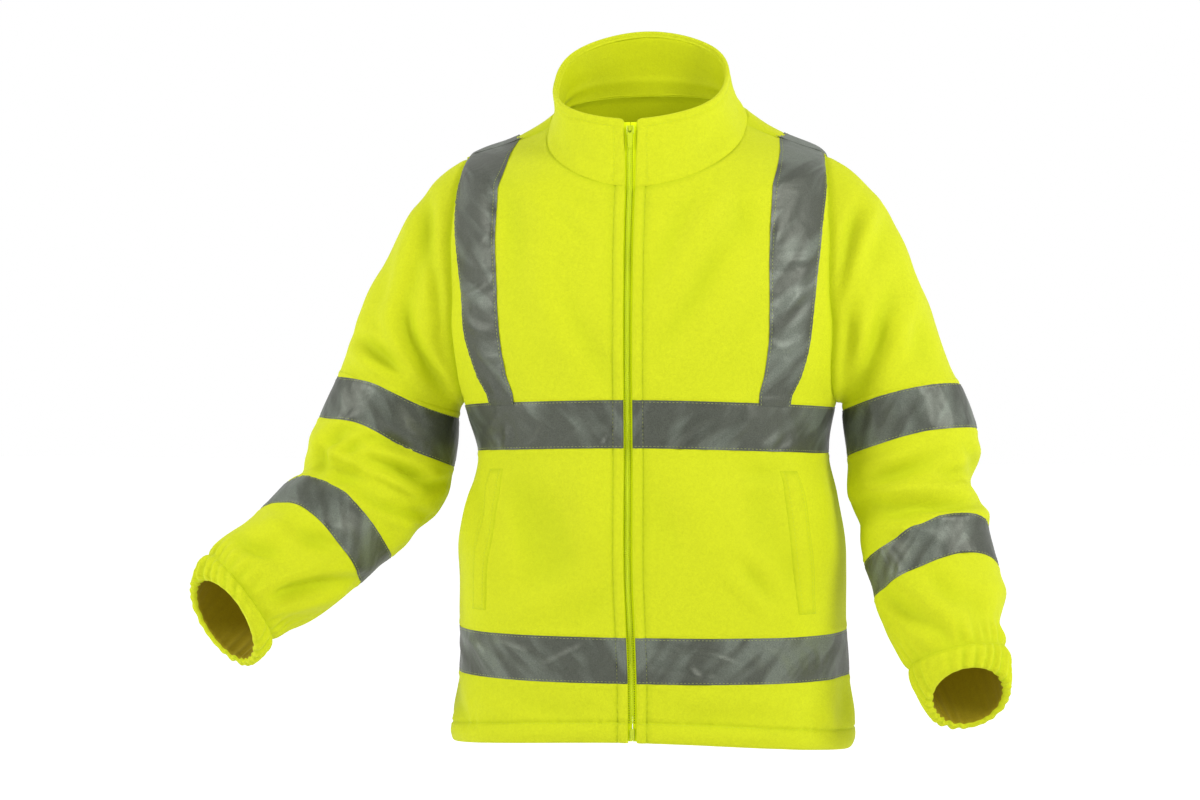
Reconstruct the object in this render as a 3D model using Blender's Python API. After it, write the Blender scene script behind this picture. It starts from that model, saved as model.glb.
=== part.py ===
# Hi-vis fleece jacket, full zip, stand collar, worn shape with nobody in it.
# Millimetres inside the tables, metres in the model.  Front is -Y, up is +Z,
# the wearer's left is +X.  Heights in the tables start at the side of the hem.
import bpy
import bmesh
import math
from mathutils import Matrix, Vector

# ---------------------------------------------------------------- sizes (mm)
MM = 0.001
FLEECE = 2.2          # one layer of fleece
TURNED = 3.8          # two layers, turned in and topstitched
HEM_TURN = 22.0       # height of the turned-up hem
FACING = 11.0         # width of the turned front edge
COLLAR_LAYER = 2.0    # each of the two collar layers
COLLAR_INSIDE = 4.3   # middle of the inner layer, inside the middle of the outer
HALF_SEAM = 0.36      # each edge stops this far short of its seam line
SLEEVE_START = 1.1    # the sleeve's own edge, out from the armhole seam
LIFT = 0.45           # air under whatever is sewn on top
BRACE_LIFT = 0.6      # the same under the braces, which cross the shoulder
TAPE = 0.7            # reflective tape
WELT = 1.8            # pocket welt
CUFF_WALL = 5.2       # elastic casing with its gathers
CUFF_GATHER = 1.5     # in and out of the gathers
ZIP_TAPE = 0.6
ZIP_LIFT = 0.6        # air between the zip and the cloth over it
CHAIN_HALF = 2.4
CHAIN_DEEP = 1.5
FULLNESS = 0.06       # how far the rings swell beyond a plain ellipse

ARMPIT = 373.0        # seam level under the arm
TIP = 636.0           # seam level at the shoulder tip
NECK = 671.0          # seam level at the side of the neck
HELD_AT = Vector((0.0, 13.0, 640.0))   # between the shoulders; becomes the origin


class Table:
    # Rows of named columns; a value between two rows follows a smooth curve.
    def __init__(self, columns, rows):
        self.at = [float(row[0]) for row in rows]
        self.values = {}
        self.slopes = {}
        for place, name in enumerate(columns.split()):
            column = [float(row[place]) for row in rows]
            self.values[name] = column
            self.slopes[name] = self.slope(column)

    def slope(self, column):
        steps = []
        for i in range(len(column) - 1):
            steps.append((column[i + 1] - column[i]) / (self.at[i + 1] - self.at[i]))
        out = [steps[0]]
        for before, after in zip(steps, steps[1:]):
            flat = before * after <= 0
            out.append(0.0 if flat else 2 * before * after / (before + after))
        out.append(steps[-1])
        return out

    def get(self, name, at):
        keys = self.at
        column = self.values[name]
        slopes = self.slopes[name]
        if at <= keys[0]:
            return column[0] + slopes[0] * (at - keys[0])
        if at >= keys[-1]:
            return column[-1] + slopes[-1] * (at - keys[-1])
        i = 0
        while keys[i + 1] < at:
            i += 1
        span = keys[i + 1] - keys[i]
        t = (at - keys[i]) / span
        rise = column[i + 1] - column[i]
        a = slopes[i] * span
        b = slopes[i + 1] * span
        return column[i] + t * (a + t * (3 * rise - 2 * a - b + t * (a + b - 2 * rise)))


# Rings round the body, from the hem to the neck seam.
BODY = Table(
    "level half_width shift side_y front_y front_z back_y back_z",
    (
        (0, 217, 2, -4, -148, 20, 128, 8),
        (24, 219, 3, -4, -147, 42, 128, 30),
        (79, 210, 3.5, -4, -146, 82, 127, 78),
        (127, 208.5, 3.5, -5, -146, 130, 124, 126),
        (205, 209, 3, -6, -146, 208, 118, 206),
        (270, 199.5, 4, -8, -143, 280, 112, 272),
        (318, 189.5, 3, -9, -140, 328, 108, 321),
        (366, 199, 0, -6, -142, 377, 112, 368),
        (400, 209, -2, -4, -142, 408, 115, 402),
        (470, 221, -4, 2, -139, 462, 116, 472),
        (540, 219, -6, 8, -131, 514, 110, 542),
        (590, 210, -7, 11, -124, 548, 102, 592),
        (620, 201, -7, 12, -118, 567, 96, 624),
        (636, 194, -7, 13, -115, 576, 92, 643),
        (650, 156, -3.5, 13, -111, 585, 86, 665),
        (662, 126, -3, 13, -108, 593, 80, 688),
        (671, 108, -4, 13, -105, 600, 75, 708),
    ),
)

# Rings round the collar, share of its height from the neck seam to the rim.
COLLAR = Table(
    "share half_width shift side_y side_z front_y front_z back_y back_z",
    (
        (0.0, 108, -4, 13, 671, -105, 600, 75, 708),
        (0.3, 99, -6, 13, 687, -99, 622, 79, 729),
        (0.65, 95, -8, 12, 705, -93, 647, 78, 753),
        (1.0, 94.5, -11, 10, 722, -88, 672, 75, 779),
    ),
)

# Degrees between the side line and the armhole seam, front and back.
ARMHOLE = Table(
    "level front back",
    (
        (373, 0, 0),
        (380, 12, 10),
        (394, 18.5, 15.5),
        (415, 22.5, 19),
        (450, 26, 22),
        (490, 28, 24),
        (530, 27, 23),
        (565, 24, 21),
        (595, 19, 16.5),
        (618, 12.5, 11),
        (630, 7, 6.5),
        (636, 0, 0),
    ),
)

# Lines down the panels, millimetres from the middle: neck point, brace edges
# above the chest band, pocket edges below it.
LINES = Table(
    "level neck inner outer",
    (
        (0, 100, 168, 190),
        (127, 100, 167, 186),
        (150, 100, 165, 183),
        (190, 101, 162, 181),
        (235, 102, 156, 176),
        (270, 102, 150, 170),
        (297, 102, 145, 162),
        (317, 103, 138, 158),
        (366, 104, 128.5, 160),
        (398, 105, 136, 172),
        (450, 106, 142, 184),
        (500, 106, 143.5, 189),
        (560, 107, 144, 195),
        (610, 108, 145.5, 198),
        (638, 108, 146, 194),
        (657, 108, 146, 180),
        (671, 109, 146, 170),
    ),
)

# The zip's own line: it wavers a little, and the gap between the edges with it.
ZIP = Table(
    "height middle half_gap",
    (
        (20, -0.5, 4.4),
        (90, -1.2, 4.6),
        (210, -5.5, 4.8),
        (350, -6.0, 4.6),
        (480, -7.0, 4.8),
        (600, -8.5, 5.4),
        (640, -9.5, 6.0),
        (672, -10.5, 6.8),
    ),
)

# Soft folds of the body: where, how they lean, how far they run, how high.
BODY_FOLDS = (
    # degrees, level, lean (deg per mm), reach (deg), reach (mm), height
    (-66, 330, 0.28, 16, 60, -3.5),
    (-48, 300, 0.30, 12, 80, 2.5),
    (64, 322, -0.30, 15, 60, -3.5),
    (50, 286, -0.24, 12, 70, 2.0),
    (-28, 232, 0.10, 9, 90, -1.8),
    (-14, 250, 0.05, 8, 90, 1.8),
    (24, 205, -0.08, 9, 100, -1.6),
    (80, 60, 0.10, 9, 60, 4.0),
    (-78, 34, 0.05, 8, 24, -4.5),
    (-58, 480, 0.05, 8, 70, -2.0),
    (150, 330, -0.25, 14, 70, -4.0),
    (206, 300, 0.22, 14, 80, -3.5),
    (180, 560, 0.0, 34, 40, -2.0),
    (128, 80, 0.10, 12, 80, 3.0),
    (236, 90, -0.10, 12, 80, 3.0),
)

RIGHT = -1            # side signs, as the wearer has them
LEFT = 1


def body_base(angle, level):
    sine = math.sin(angle)
    cosine = math.cos(angle)
    swell = 1 + FULLNESS * (2 * sine * cosine) ** 2
    side_y = BODY.get("side_y", level)
    edge_y = BODY.get("front_y" if cosine > 0 else "back_y", level)
    front_z = BODY.get("front_z", level)
    back_z = BODY.get("back_z", level)
    lean = (front_z - back_z) / 2
    bow = (front_z + back_z) / 2 - level
    return Vector((
        BODY.get("shift", level) + BODY.get("half_width", level) * sine * swell,
        side_y + (edge_y - side_y) * abs(cosine) * swell,
        level + lean * cosine + bow * cosine * cosine,
    ))


def normal_of(surface, a, b, step_a, step_b):
    along = surface(a + step_a, b) - surface(a - step_a, b)
    up = surface(a, b + step_b) - surface(a, b - step_b)
    return along.cross(up).normalized()


def fold_height(angle, level):
    degrees = math.degrees(angle) % 360
    total = 0.0
    for middle, at, lean, reach, run, height in BODY_FOLDS:
        rise = (level - at) / run
        off = (degrees - middle - lean * (level - at) + 180) % 360 - 180
        off /= reach
        if abs(rise) < 3 and abs(off) < 3:
            total += height * math.exp(-rise * rise - off * off)
    calm = min(1.0, max(0.0, (650 - level) / 80))
    front = min(1.0, abs((degrees + 180) % 360 - 180) / 9)
    return total * calm * front


def body(angle, level):
    point = body_base(angle, level)
    height = fold_height(angle, level)
    if abs(height) > 0.01:
        point = point + normal_of(body_base, angle, level, 0.01, 1.0) * height
    return point


def body_normal(angle, level):
    return normal_of(body, angle, level, 0.012, 1.2)


def collar(angle, share):
    sine = math.sin(angle)
    cosine = math.cos(angle)
    swell = 1 + FULLNESS * (2 * sine * cosine) ** 2
    side_y = COLLAR.get("side_y", share)
    side_z = COLLAR.get("side_z", share)
    edge_y = COLLAR.get("front_y" if cosine > 0 else "back_y", share)
    front_z = COLLAR.get("front_z", share)
    back_z = COLLAR.get("back_z", share)
    lean = (front_z - back_z) / 2
    bow = (front_z + back_z) / 2 - side_z
    return Vector((
        COLLAR.get("shift", share) + COLLAR.get("half_width", share) * sine * swell,
        side_y + (edge_y - side_y) * abs(cosine) * swell,
        side_z + lean * cosine + bow * cosine * cosine,
    ))


def collar_normal(angle, share):
    return normal_of(collar, angle, share, 0.012, 0.01)


def miter(one, other):
    # The shared rim direction where two layers meet along a seam.
    return (one + other) / max(0.6, 1 + one.dot(other))


def neck_rim(angle):
    return miter(body_normal(angle, NECK - 1.5), collar_normal(angle, 0.01))


def angle_for(x, level, table=BODY):
    # Angle from the middle of the front at which the ring is x from its centre.
    half = table.get("half_width", level)
    sine = min(1.0, abs(x) / half)
    for _ in range(8):
        swell = 1 + FULLNESS * 4 * sine * sine * (1 - sine * sine)
        sine = min(1.0, abs(x) / half / swell)
    return math.copysign(math.asin(sine), x)


# ------------------------------------------------------------ mesh building
def clear_scene():
    for thing in list(bpy.data.objects):
        bpy.data.objects.remove(thing, do_unlink=True)


def colour(code):
    parts = [int(code[i:i + 2], 16) / 255 for i in (0, 2, 4)]
    linear = [c / 12.92 if c <= 0.04045 else ((c + 0.055) / 1.055) ** 2.4 for c in parts]
    return (*linear, 1.0)


def material(name, code, roughness):
    made = bpy.data.materials.new(name)
    made.use_nodes = True
    shader = made.node_tree.nodes["Principled BSDF"]
    shader.inputs["Base Color"].default_value = colour(code)
    shader.inputs["Roughness"].default_value = roughness
    shader.inputs["Metallic"].default_value = 0.0
    return made


def place(point):
    return (point - HELD_AT) * MM


def solid(name, points, faces, skin, smooth=True):
    mesh = bpy.data.meshes.new(name)
    mesh.from_pydata([place(p) for p in points], [], faces)
    shaped = bmesh.new()
    shaped.from_mesh(mesh)
    bmesh.ops.recalc_face_normals(shaped, faces=shaped.faces)
    shaped.to_mesh(mesh)
    shaped.free()
    mesh.materials.append(skin)
    for face in mesh.polygons:
        face.use_smooth = smooth
    thing = bpy.data.objects.new(name, mesh)
    bpy.context.scene.collection.objects.link(thing)
    return thing


def shell(name, outer, inner, skin, around=False):
    # Closes two grids of points, outer and inner, into one thin body.
    rows = len(outer)
    across = len(outer[0])
    points = [p for row in outer for p in row] + [p for row in inner for p in row]
    back = rows * across
    faces = []

    def spot(row, column):
        return row * across + column % across

    def split(a, b, c, d):
        # Every cell is cut along the same diagonal, so layers stay parallel.
        faces.append((a, b, c))
        faces.append((a, c, d))

    cells = across if around else across - 1
    for r in range(rows - 1):
        for c in range(cells):
            a, b, d, e = spot(r, c), spot(r, c + 1), spot(r + 1, c + 1), spot(r + 1, c)
            split(a, b, d, e)
            faces.append((a + back, d + back, b + back))
            faces.append((a + back, e + back, d + back))
    for c in range(cells):
        split(spot(0, c), spot(0, c) + back, spot(0, c + 1) + back, spot(0, c + 1))
        r = rows - 1
        split(spot(r, c), spot(r, c + 1), spot(r, c + 1) + back, spot(r, c) + back)
    if not around:
        c = across - 1
        for r in range(rows - 1):
            split(spot(r, 0), spot(r + 1, 0), spot(r + 1, 0) + back, spot(r, 0) + back)
            split(spot(r, c), spot(r, c) + back, spot(r + 1, c) + back, spot(r + 1, c))
    return solid(name, points, faces, skin)


def offset(grid, rims, distance):
    return [[p + n * distance for p, n in zip(row, rim)] for row, rim in zip(grid, rims)]


def pulled_in(grid, edges, amount=HALF_SEAM):
    # Moves the named edges of a grid back from their seam lines.
    out = [[p.copy() for p in row] for row in grid]

    def move(r, c, rr, cc):
        away = (grid[rr][cc] - grid[r][c]).normalized()
        out[r][c] = out[r][c] + away * amount

    last_row = len(grid) - 1
    last = len(grid[0]) - 1
    for r in range(last_row + 1):
        if "start" in edges:
            move(r, 0, r, 1)
        if "end" in edges:
            move(r, last, r, last - 1)
    for c in range(last + 1):
        if "bottom" in edges:
            move(0, c, 1, c)
        if "top" in edges:
            move(last_row, c, last_row - 1, c)
    return out


# -------------------------------------------------------------- body panels
HEM_ROWS = (0.0, HEM_TURN, HEM_TURN + 1.6)
LOW_BAND = (79.0, 127.0)
POCKET_ROWS = (150.0, 190.0, 235.0, 270.0, 297.0)
CHEST_BAND = (317.0, 366.0)
LOW_ROWS = HEM_ROWS + LOW_BAND + POCKET_ROWS + CHEST_BAND
ARM_ROWS = (373.0, 380.0, 394.0, 415.0, 450.0, 490.0, 530.0, 565.0, 595.0, 618.0, 630.0, 636.0)
ROW_LEVELS = LOW_ROWS + ARM_ROWS
NECK_FRONT = (25.0, 47.0, 68.0, 90.0)     # degrees of the lines at the neck seam
NECK_BACK = (157.0, 135.0, 112.0, 90.0)
NECK_SHARES = (0.32, 0.54, 0.77, 1.0)     # the same lines lower down, share of the way out
BRACE_TOP = (657.0, 638.5)                # where the brace edges meet the shoulder


def column_level(row_level, top):
    if row_level <= ARMPIT:
        return row_level
    return ARMPIT + (row_level - ARMPIT) / (TIP - ARMPIT) * (top - ARMPIT)


def seam_angle(row_level, part):
    if row_level <= ARMPIT:
        return math.pi / 2
    return math.pi / 2 - math.radians(ARMHOLE.get(part, row_level))


def half_places(row_level, part):
    # Angle and level of each line across half of a panel, from the neck lines out.
    middle = []
    neck_degrees = NECK_FRONT if part == "front" else NECK_BACK
    for number, degrees in enumerate(neck_degrees):
        level = column_level(row_level, NECK)
        settled = math.radians(degrees if part == "front" else 180 - degrees)
        sine = math.sin(settled)
        across = sine * (1 + FULLNESS * 4 * sine * sine * (1 - sine * sine))
        rise = max(0.0, (level - ARMPIT) / (NECK - ARMPIT)) ** 2
        share = NECK_SHARES[number]
        share += (across - share) * rise
        angle = angle_for(LINES.get("neck", level) * share, level)
        middle.append((settled if level >= NECK - 0.01 else angle, level))
    for name, top in (("inner", BRACE_TOP[0]), ("outer", BRACE_TOP[1])):
        level = column_level(row_level, top)
        angle = angle_for(LINES.get(name, level), level)
        if row_level >= TIP:
            angle = math.pi / 2
        middle.append((angle, level))
    end = (seam_angle(row_level, part), min(row_level, TIP))
    last = middle[-1]
    for share in (0.36, 0.7):
        middle.append((last[0] + (end[0] - last[0]) * share, last[1] + (end[1] - last[1]) * share))
    middle.append(end)
    return middle


def zip_angle(level, side, away):
    height = body_base(0.0, level).z
    x = ZIP.get("middle", height) + side * away - BODY.get("shift", level)
    return angle_for(x, level)


def zip_edge(level):
    return ZIP.get("half_gap", body_base(0.0, level).z)


def front_places(row_level, side):
    level = column_level(row_level, NECK)
    places = [
        (zip_angle(level, side, zip_edge(level)), level),
        (zip_angle(level, side, zip_edge(level) + FACING), level),
        (zip_angle(level, side, zip_edge(level) + FACING + 1.6), level),
    ]
    return places + [(side * angle, at) for angle, at in half_places(row_level, "front")]


def back_places(row_level):
    half = half_places(row_level, "back")
    level = column_level(row_level, NECK)
    right = [(-(math.pi - angle), at) for angle, at in half]
    left = [(math.pi - angle, at) for angle, at in half]
    # From the wearer's left side seam across the back to the right one.
    return list(reversed(left)) + [(math.pi, level)] + [(a + 2 * math.pi, at) for a, at in right]


FRONT = {}
BACK = {}


def arm_start(side, share, part):
    # Way the sleeve leaves the armhole: out at the tip, down under the arm.
    lean = {"front": -1, "back": 1}[part]
    out = 1.0 - 0.2 * share
    down = 0.42 + 0.22 * share
    swing = 0.14 * math.sin(math.pi * share)
    return Vector((side * out, lean * swing, -down)).normalized()


def armhole_loop(side):
    # Seam points from the shoulder tip down the front and up the back.
    places = []
    for level in reversed(ARM_ROWS):
        places.append((side * seam_angle(level, "front"), level, "front"))
    for level in ARM_ROWS[1:-1]:
        places.append((side * (math.pi - seam_angle(level, "back")), level, "back"))
    points = [body(angle, level) for angle, level, part in places]
    half = len(ARM_ROWS) - 1
    count = len(points)
    loop = []
    for i, (angle, level, part) in enumerate(places):
        run = i / half if i <= half else (count - i) / half
        along = (points[(i + 1) % count] - points[i - 1]).normalized()
        away = arm_start(side, run, part)
        away -= along * away.dot(along) * 0.8 * min(1.0, 2 * run) ** 2
        away.normalize()
        cloth = body_normal(angle, min(level, TIP - 0.5))
        sleeve = along.cross(away).normalized() * side
        loop.append({"point": points[i], "away": away, "rim": miter(cloth, sleeve)})
    return loop


LOOPS = {RIGHT: armhole_loop(RIGHT), LEFT: armhole_loop(LEFT)}


def loop_rim(side, row_level, part):
    half = len(ARM_ROWS) - 1
    down = half - ARM_ROWS.index(row_level)
    count = 2 * half
    return LOOPS[side][down if part == "front" else (count - down) % count]["rim"]


def body_grid(places_of, part, sides):
    # sides: the side sign at the first and the last column, or None at the zip.
    points = []
    rims = []
    for row_level in ROW_LEVELS:
        places = places_of(row_level)
        row = [body(angle, level) for angle, level in places]
        rim = []
        for angle, level in places:
            if level >= NECK - 0.01:
                rim.append(neck_rim(angle))
            else:
                rim.append(body_normal(angle, level))
        if row_level >= ARMPIT:
            for column, side in ((0, sides[0]), (-1, sides[1])):
                if side is not None:
                    rim[column] = loop_rim(side, row_level, part)
        points.append(row)
        rims.append(rim)
    return points, rims


def wall_depths(columns, facing):
    depths = []
    for row_level in ROW_LEVELS:
        row = []
        for column in range(columns):
            thick = row_level <= HEM_TURN or (facing and column <= 1)
            row.append((TURNED if thick else FLEECE) - FLEECE / 2)
        depths.append(row)
    return depths


def panel(name, grid, rims, edges, skin, facing):
    settled = pulled_in(grid, edges)
    outer = offset(settled, rims, FLEECE / 2)
    depths = wall_depths(len(grid[0]), facing)
    inner = []
    for row, rim, deep in zip(settled, rims, depths):
        inner.append([p - n * d for p, n, d in zip(row, rim, deep)])
    return shell(name, outer, inner, skin)


def laid_on(name, grid, rims, rows, columns, lift, thick, skin, edges=()):
    # A strip made from a panel's own points, moved out.
    part = [list(grid[r][columns[0]:columns[1] + 1]) for r in rows]
    out = [list(rims[r][columns[0]:columns[1] + 1]) for r in rows]
    part = pulled_in(part, edges, HALF_SEAM + 0.1)
    low = offset(part, out, FLEECE / 2 + lift)
    high = offset(part, out, FLEECE / 2 + lift + thick)
    return shell(name, high, low, skin)


# ------------------------------------------------------------------ sleeves
# Rings down each sleeve: centre, half sizes across and through, how far the
# outer end rises, how far the near side is lifted (degrees).
SLEEVE = {
    RIGHT: Table(
        "station x y z across through rise lift",
        (
            (1, -277, -2, 381, 69, 62, 19, 3),
            (2, -279, -3, 374, 69.5, 62, 18.5, 4),
            (3, -291, -8, 325, 78, 64, 19.5, 7),
            (4, -307, -22, 275, 79, 62, 22, 16),
            (5, -337, -54, 241, 68, 60, 27, 30),
            (6, -362, -78, 213, 67, 58, 28, 32),
            (7, -396, -108, 184, 63, 54, 39, 31),
            (8, -424, -134, 164, 55, 47, 52, 26),
        ),
    ),
    LEFT: Table(
        "station x y z across through rise lift",
        (
            (1, 270, -2, 383, 62, 60, 13, 4),
            (2, 272, -3, 376, 63.5, 60, 13, 5),
            (3, 283, -8, 328, 69, 61, 13, 7),
            (4, 287, -22, 272, 67, 60, 11, 12),
            (5, 300, -50, 222, 66, 58, 16.5, 19),
            (6, 312, -70, 184, 66, 57, 14, 22),
            (7, 320, -94, 147, 60, 53, 12, 24),
            (8, 334, -118, 110, 49, 44, 15, 22),
        ),
    ),
}
# Mouth of each cuff: centre, half sizes, rise, lift.
CUFF_END = {
    RIGHT: (-445, -152, 142, 49, 45, 54, 34),
    LEFT: (347, -138, 74, 46, 42, 24, 52),
}
CAP_LEAD = {RIGHT: 0.27, LEFT: 0.34}
CAP_SHARES = (0.0, 0.1, 0.24, 0.42, 0.62, 0.82, 1.0)
SLEEVE_STATIONS = (2.0, 3.0, 3.5, 4.0, 4.5, 5.0, 6.0, 7.0, 8.0)
UPPER_TAPE = (2.0, 3.0)
LOWER_TAPE = (5.0, 6.0)
# Soft folds of the sleeves: station, degrees round from the outer line,
# how the crease drifts (stations per degree), reach along and round, height.
SLEEVE_FOLDS = {
    RIGHT: (
        (4.1, 150, 0.004, 0.35, 50, -5.0),
        (4.7, 170, 0.004, 0.3, 50, 4.5),
        (3.6, 60, 0.004, 0.35, 45, 3.0),
        (4.3, 20, 0.0, 0.35, 40, -5.0),
        (7.0, 60, 0.006, 0.5, 50, 3.0),
    ),
    LEFT: (
        (3.9, 20, 0.0, 0.35, 45, -4.0),
        (4.5, 15, 0.0, 0.3, 45, 5.0),
        (3.6, 90, 0.004, 0.35, 50, 3.0),
        (4.2, 130, 0.004, 0.35, 45, -4.0),
        (7.1, 70, 0.004, 0.5, 60, 3.0),
    ),
}


def ring(side, values, round_degrees):
    x, y, z, across, through, rise, lift = values
    rise = math.radians(rise)
    lift = math.radians(lift)
    out = Vector((side * math.cos(rise), 0, math.sin(rise)))
    up = Vector((-side * math.sin(rise), 0, math.cos(rise)))
    near = Vector((0, -math.cos(lift), 0)) + up * math.sin(lift)
    a = math.radians(round_degrees)
    return Vector((x, y, z)) + out * (across * math.cos(a)) + near * (through * math.sin(a))


def sleeve_ring(side, station, degrees):
    table = SLEEVE[side]
    names = ("x", "y", "z", "across", "through", "rise", "lift")
    values = [table.get(name, station) for name in names]
    centre = Vector(values[:3])
    row = []
    for d in degrees:
        point = ring(side, values, d)
        height = 0.0
        for at, middle, drift, reach, turn, rise in SLEEVE_FOLDS[side]:
            off = (d - middle + 180) % 360 - 180
            along = (station - at - drift * off) / reach
            height += rise * math.exp(-along * along - (off / turn) ** 2)
        row.append(point + (point - centre).normalized() * height)
    return row


def loop_degrees(loop):
    # Spreads the seam points round the ring by their distance along the seam.
    half = len(loop) // 2
    degrees = []
    for start, end, base in ((0, half, 0.0), (half, 2 * half, 180.0)):
        lengths = [0.0]
        for i in range(start, end):
            step = loop[(i + 1) % len(loop)]["point"] - loop[i]["point"]
            lengths.append(lengths[-1] + step.length)
        degrees += [base + 180 * run / lengths[-1] for run in lengths[:-1]]
    return degrees


def sleeve_grid(side):
    loop = LOOPS[side]
    degrees = loop_degrees(loop)
    first = sleeve_ring(side, 1.0, degrees)
    second = sleeve_ring(side, 1.4, degrees)
    grid = []
    for share in CAP_SHARES:
        row = []
        for k, seam in enumerate(loop):
            start = seam["point"] + seam["away"] * SLEEVE_START
            end = first[k]
            span = (end - start).length
            arrive = (second[k] - first[k]).normalized()
            lead = start + seam["away"] * span * CAP_LEAD[side]
            land = end - arrive * span * 0.36
            t = share
            point = start * (1 - t) ** 3 + lead * (3 * t * (1 - t) ** 2)
            point += land * (3 * t * t * (1 - t)) + end * t ** 3
            row.append(point)
        grid.append(row)
    for station in SLEEVE_STATIONS:
        grid.append(sleeve_ring(side, station, degrees))
    return grid


def tube_rims(grid, first=None):
    rims = []
    last = len(grid) - 1
    count = len(grid[0])
    for r, row in enumerate(grid):
        centre = sum(row, Vector()) / count
        rim = []
        for c in range(count):
            along = grid[min(r + 1, last)][c] - grid[max(r - 1, 0)][c]
            round_it = row[(c + 1) % count] - row[c - 1]
            out = along.cross(round_it).normalized()
            if out.dot(row[c] - centre) < 0:
                out = -out
            rim.append(out)
        rims.append(rim)
    if first is not None:
        rims[0] = first
    return rims


def build_sleeve(side, word, fleece, tape):
    grid = sleeve_grid(side)
    rims = tube_rims(grid, [seam["rim"] for seam in LOOPS[side]])
    settled = [row[:] for row in grid]
    end = []
    for c, point in enumerate(grid[-1]):
        end.append(point + (grid[-2][c] - point).normalized() * HALF_SEAM)
    settled[-1] = end
    outer = offset(settled, rims, FLEECE / 2)
    inner = offset(settled, rims, -FLEECE / 2)
    shell("sleeve_" + word, outer, inner, fleece, around=True)
    first_row = len(CAP_SHARES)
    for label, stations in (("upper", UPPER_TAPE), ("lower", LOWER_TAPE)):
        rows = [first_row + SLEEVE_STATIONS.index(s) for s in stations]
        part = [grid[r] for r in rows]
        out = [rims[r] for r in rows]
        low = offset(part, out, FLEECE / 2 + LIFT)
        high = offset(part, out, FLEECE / 2 + LIFT + TAPE)
        shell("sleeve_tape_" + label + "_" + word, high, low, tape, around=True)
    build_cuff(side, word, grid, rims, fleece)


def build_cuff(side, word, grid, rims, fleece):
    # A turned casing on the sleeve's own edge, gathered by its elastic.
    edge = grid[-1]
    before = grid[-2]
    count = len(edge)
    degrees = loop_degrees(LOOPS[side])
    start, start_rim, mouth = [], [], []
    for c in range(count):
        following = (c + 1) % count
        for share in (0.0, 0.5):
            point = edge[c].lerp(edge[following], share)
            back = before[c].lerp(before[following], share)
            start.append(point - (back - point).normalized() * HALF_SEAM)
            start_rim.append(rims[-1][c].lerp(rims[-1][following], share).normalized())
            after = degrees[following] if following else 360.0
            turn = degrees[c] + (after - degrees[c]) * share
            mouth.append(ring(side, CUFF_END[side], turn))
    middle = [a.lerp(b, 0.34) for a, b in zip(start, mouth)]
    rough = [start, middle, mouth]
    out = tube_rims(rough)
    outer, inner = [], []
    for r, (row, rim) in enumerate(zip(rough, out)):
        deep = (FLEECE, CUFF_WALL, CUFF_WALL)[r]
        outer_row, inner_row = [], []
        for c, point in enumerate(row):
            gather = 0.0 if r == 0 else CUFF_GATHER * (1 if c % 2 else -1)
            way = start_rim[c] if r == 0 else rim[c]
            outer_row.append(point + way * (deep / 2 + gather * 0.6))
            inner_row.append(point - way * (deep / 2 + gather * 0.4))
        outer.append(outer_row)
        inner.append(inner_row)
    shell("cuff_" + word, outer, inner, fleece, around=True)


# ------------------------------------------------------------------- collar
COLLAR_ROWS = (0.0, 0.3, 0.65, 1.0)


def collar_angles(share):
    height = COLLAR.get("front_z", share)
    edges = []
    for side in (LEFT, RIGHT):
        shift = COLLAR.get("shift", share)
        for away in (0.0, FACING, FACING + 1.6):
            x = ZIP.get("middle", height) + side * (ZIP.get("half_gap", height) + away) - shift
            edges.append(angle_for(x, share, COLLAR))
    left = edges[:3] + [math.radians(d) for d in NECK_FRONT]
    back = [math.radians(d) for d in reversed(NECK_BACK[:-1])]
    back += [math.pi] + [math.radians(360 - d) for d in NECK_BACK[:-1]]
    right = [math.radians(360 - d) for d in reversed(NECK_FRONT)]
    right += [2 * math.pi + a for a in reversed(edges[3:])]
    return left + back + right


def build_collar(fleece):
    grid, rims = [], []
    for share in COLLAR_ROWS:
        angles = collar_angles(share)
        grid.append([collar(a, share) for a in angles])
        if share == 0.0:
            rims.append([neck_rim(a) for a in angles])
        else:
            rims.append([collar_normal(a, share) for a in angles])
    settled = pulled_in(grid, ("bottom",), HALF_SEAM + 0.15)
    outer = offset(settled, rims, COLLAR_LAYER / 2)
    inner = offset(settled, rims, -COLLAR_LAYER / 2)
    shell("collar_outer", outer, inner, fleece)
    lining, out = [], []
    for share in COLLAR_ROWS:
        angles = collar_angles(share)
        row, rim = [], []
        for column, angle in enumerate(angles):
            by_zip = min(column, len(angles) - 1 - column) < 3
            at = share if share > 0 else (0.09 if by_zip else -0.03)
            row.append(collar(angle, at))
            rim.append(collar_normal(angle, at))
        lining.append(row)
        out.append(rim)
    outer = offset(lining, out, -COLLAR_INSIDE + COLLAR_LAYER / 2)
    inner = offset(lining, out, -COLLAR_INSIDE - COLLAR_LAYER / 2)
    shell("collar_inner", outer, inner, fleece)


# ---------------------------------------------------------------------- zip
SLIDER_SHARE = 0.83
CHAIN_TOP = 0.75
BOX_LEVEL = 9.5
CLOTH_DEPTH = TURNED - FLEECE / 2       # inner face of the turned edge
COLLAR_DEPTH = COLLAR_LAYER / 2


def zip_frames():
    # Stations up the zip: which surface, how far along it, depth of the tape.
    frames = []
    for level in (2.0,) + ROW_LEVELS[2:-1]:
        frames.append(("body", column_level(level, NECK), -CLOTH_DEPTH - ZIP_LIFT))
    frames.append(("body", NECK - 3.0, -CLOTH_DEPTH - ZIP_LIFT - 0.7))
    frames.append(("collar", 0.05, -COLLAR_DEPTH - ZIP_LIFT - 0.7))
    for share in (0.3, 0.65, 0.95):
        frames.append(("collar", share, -COLLAR_DEPTH - ZIP_LIFT))
    return frames


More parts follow.
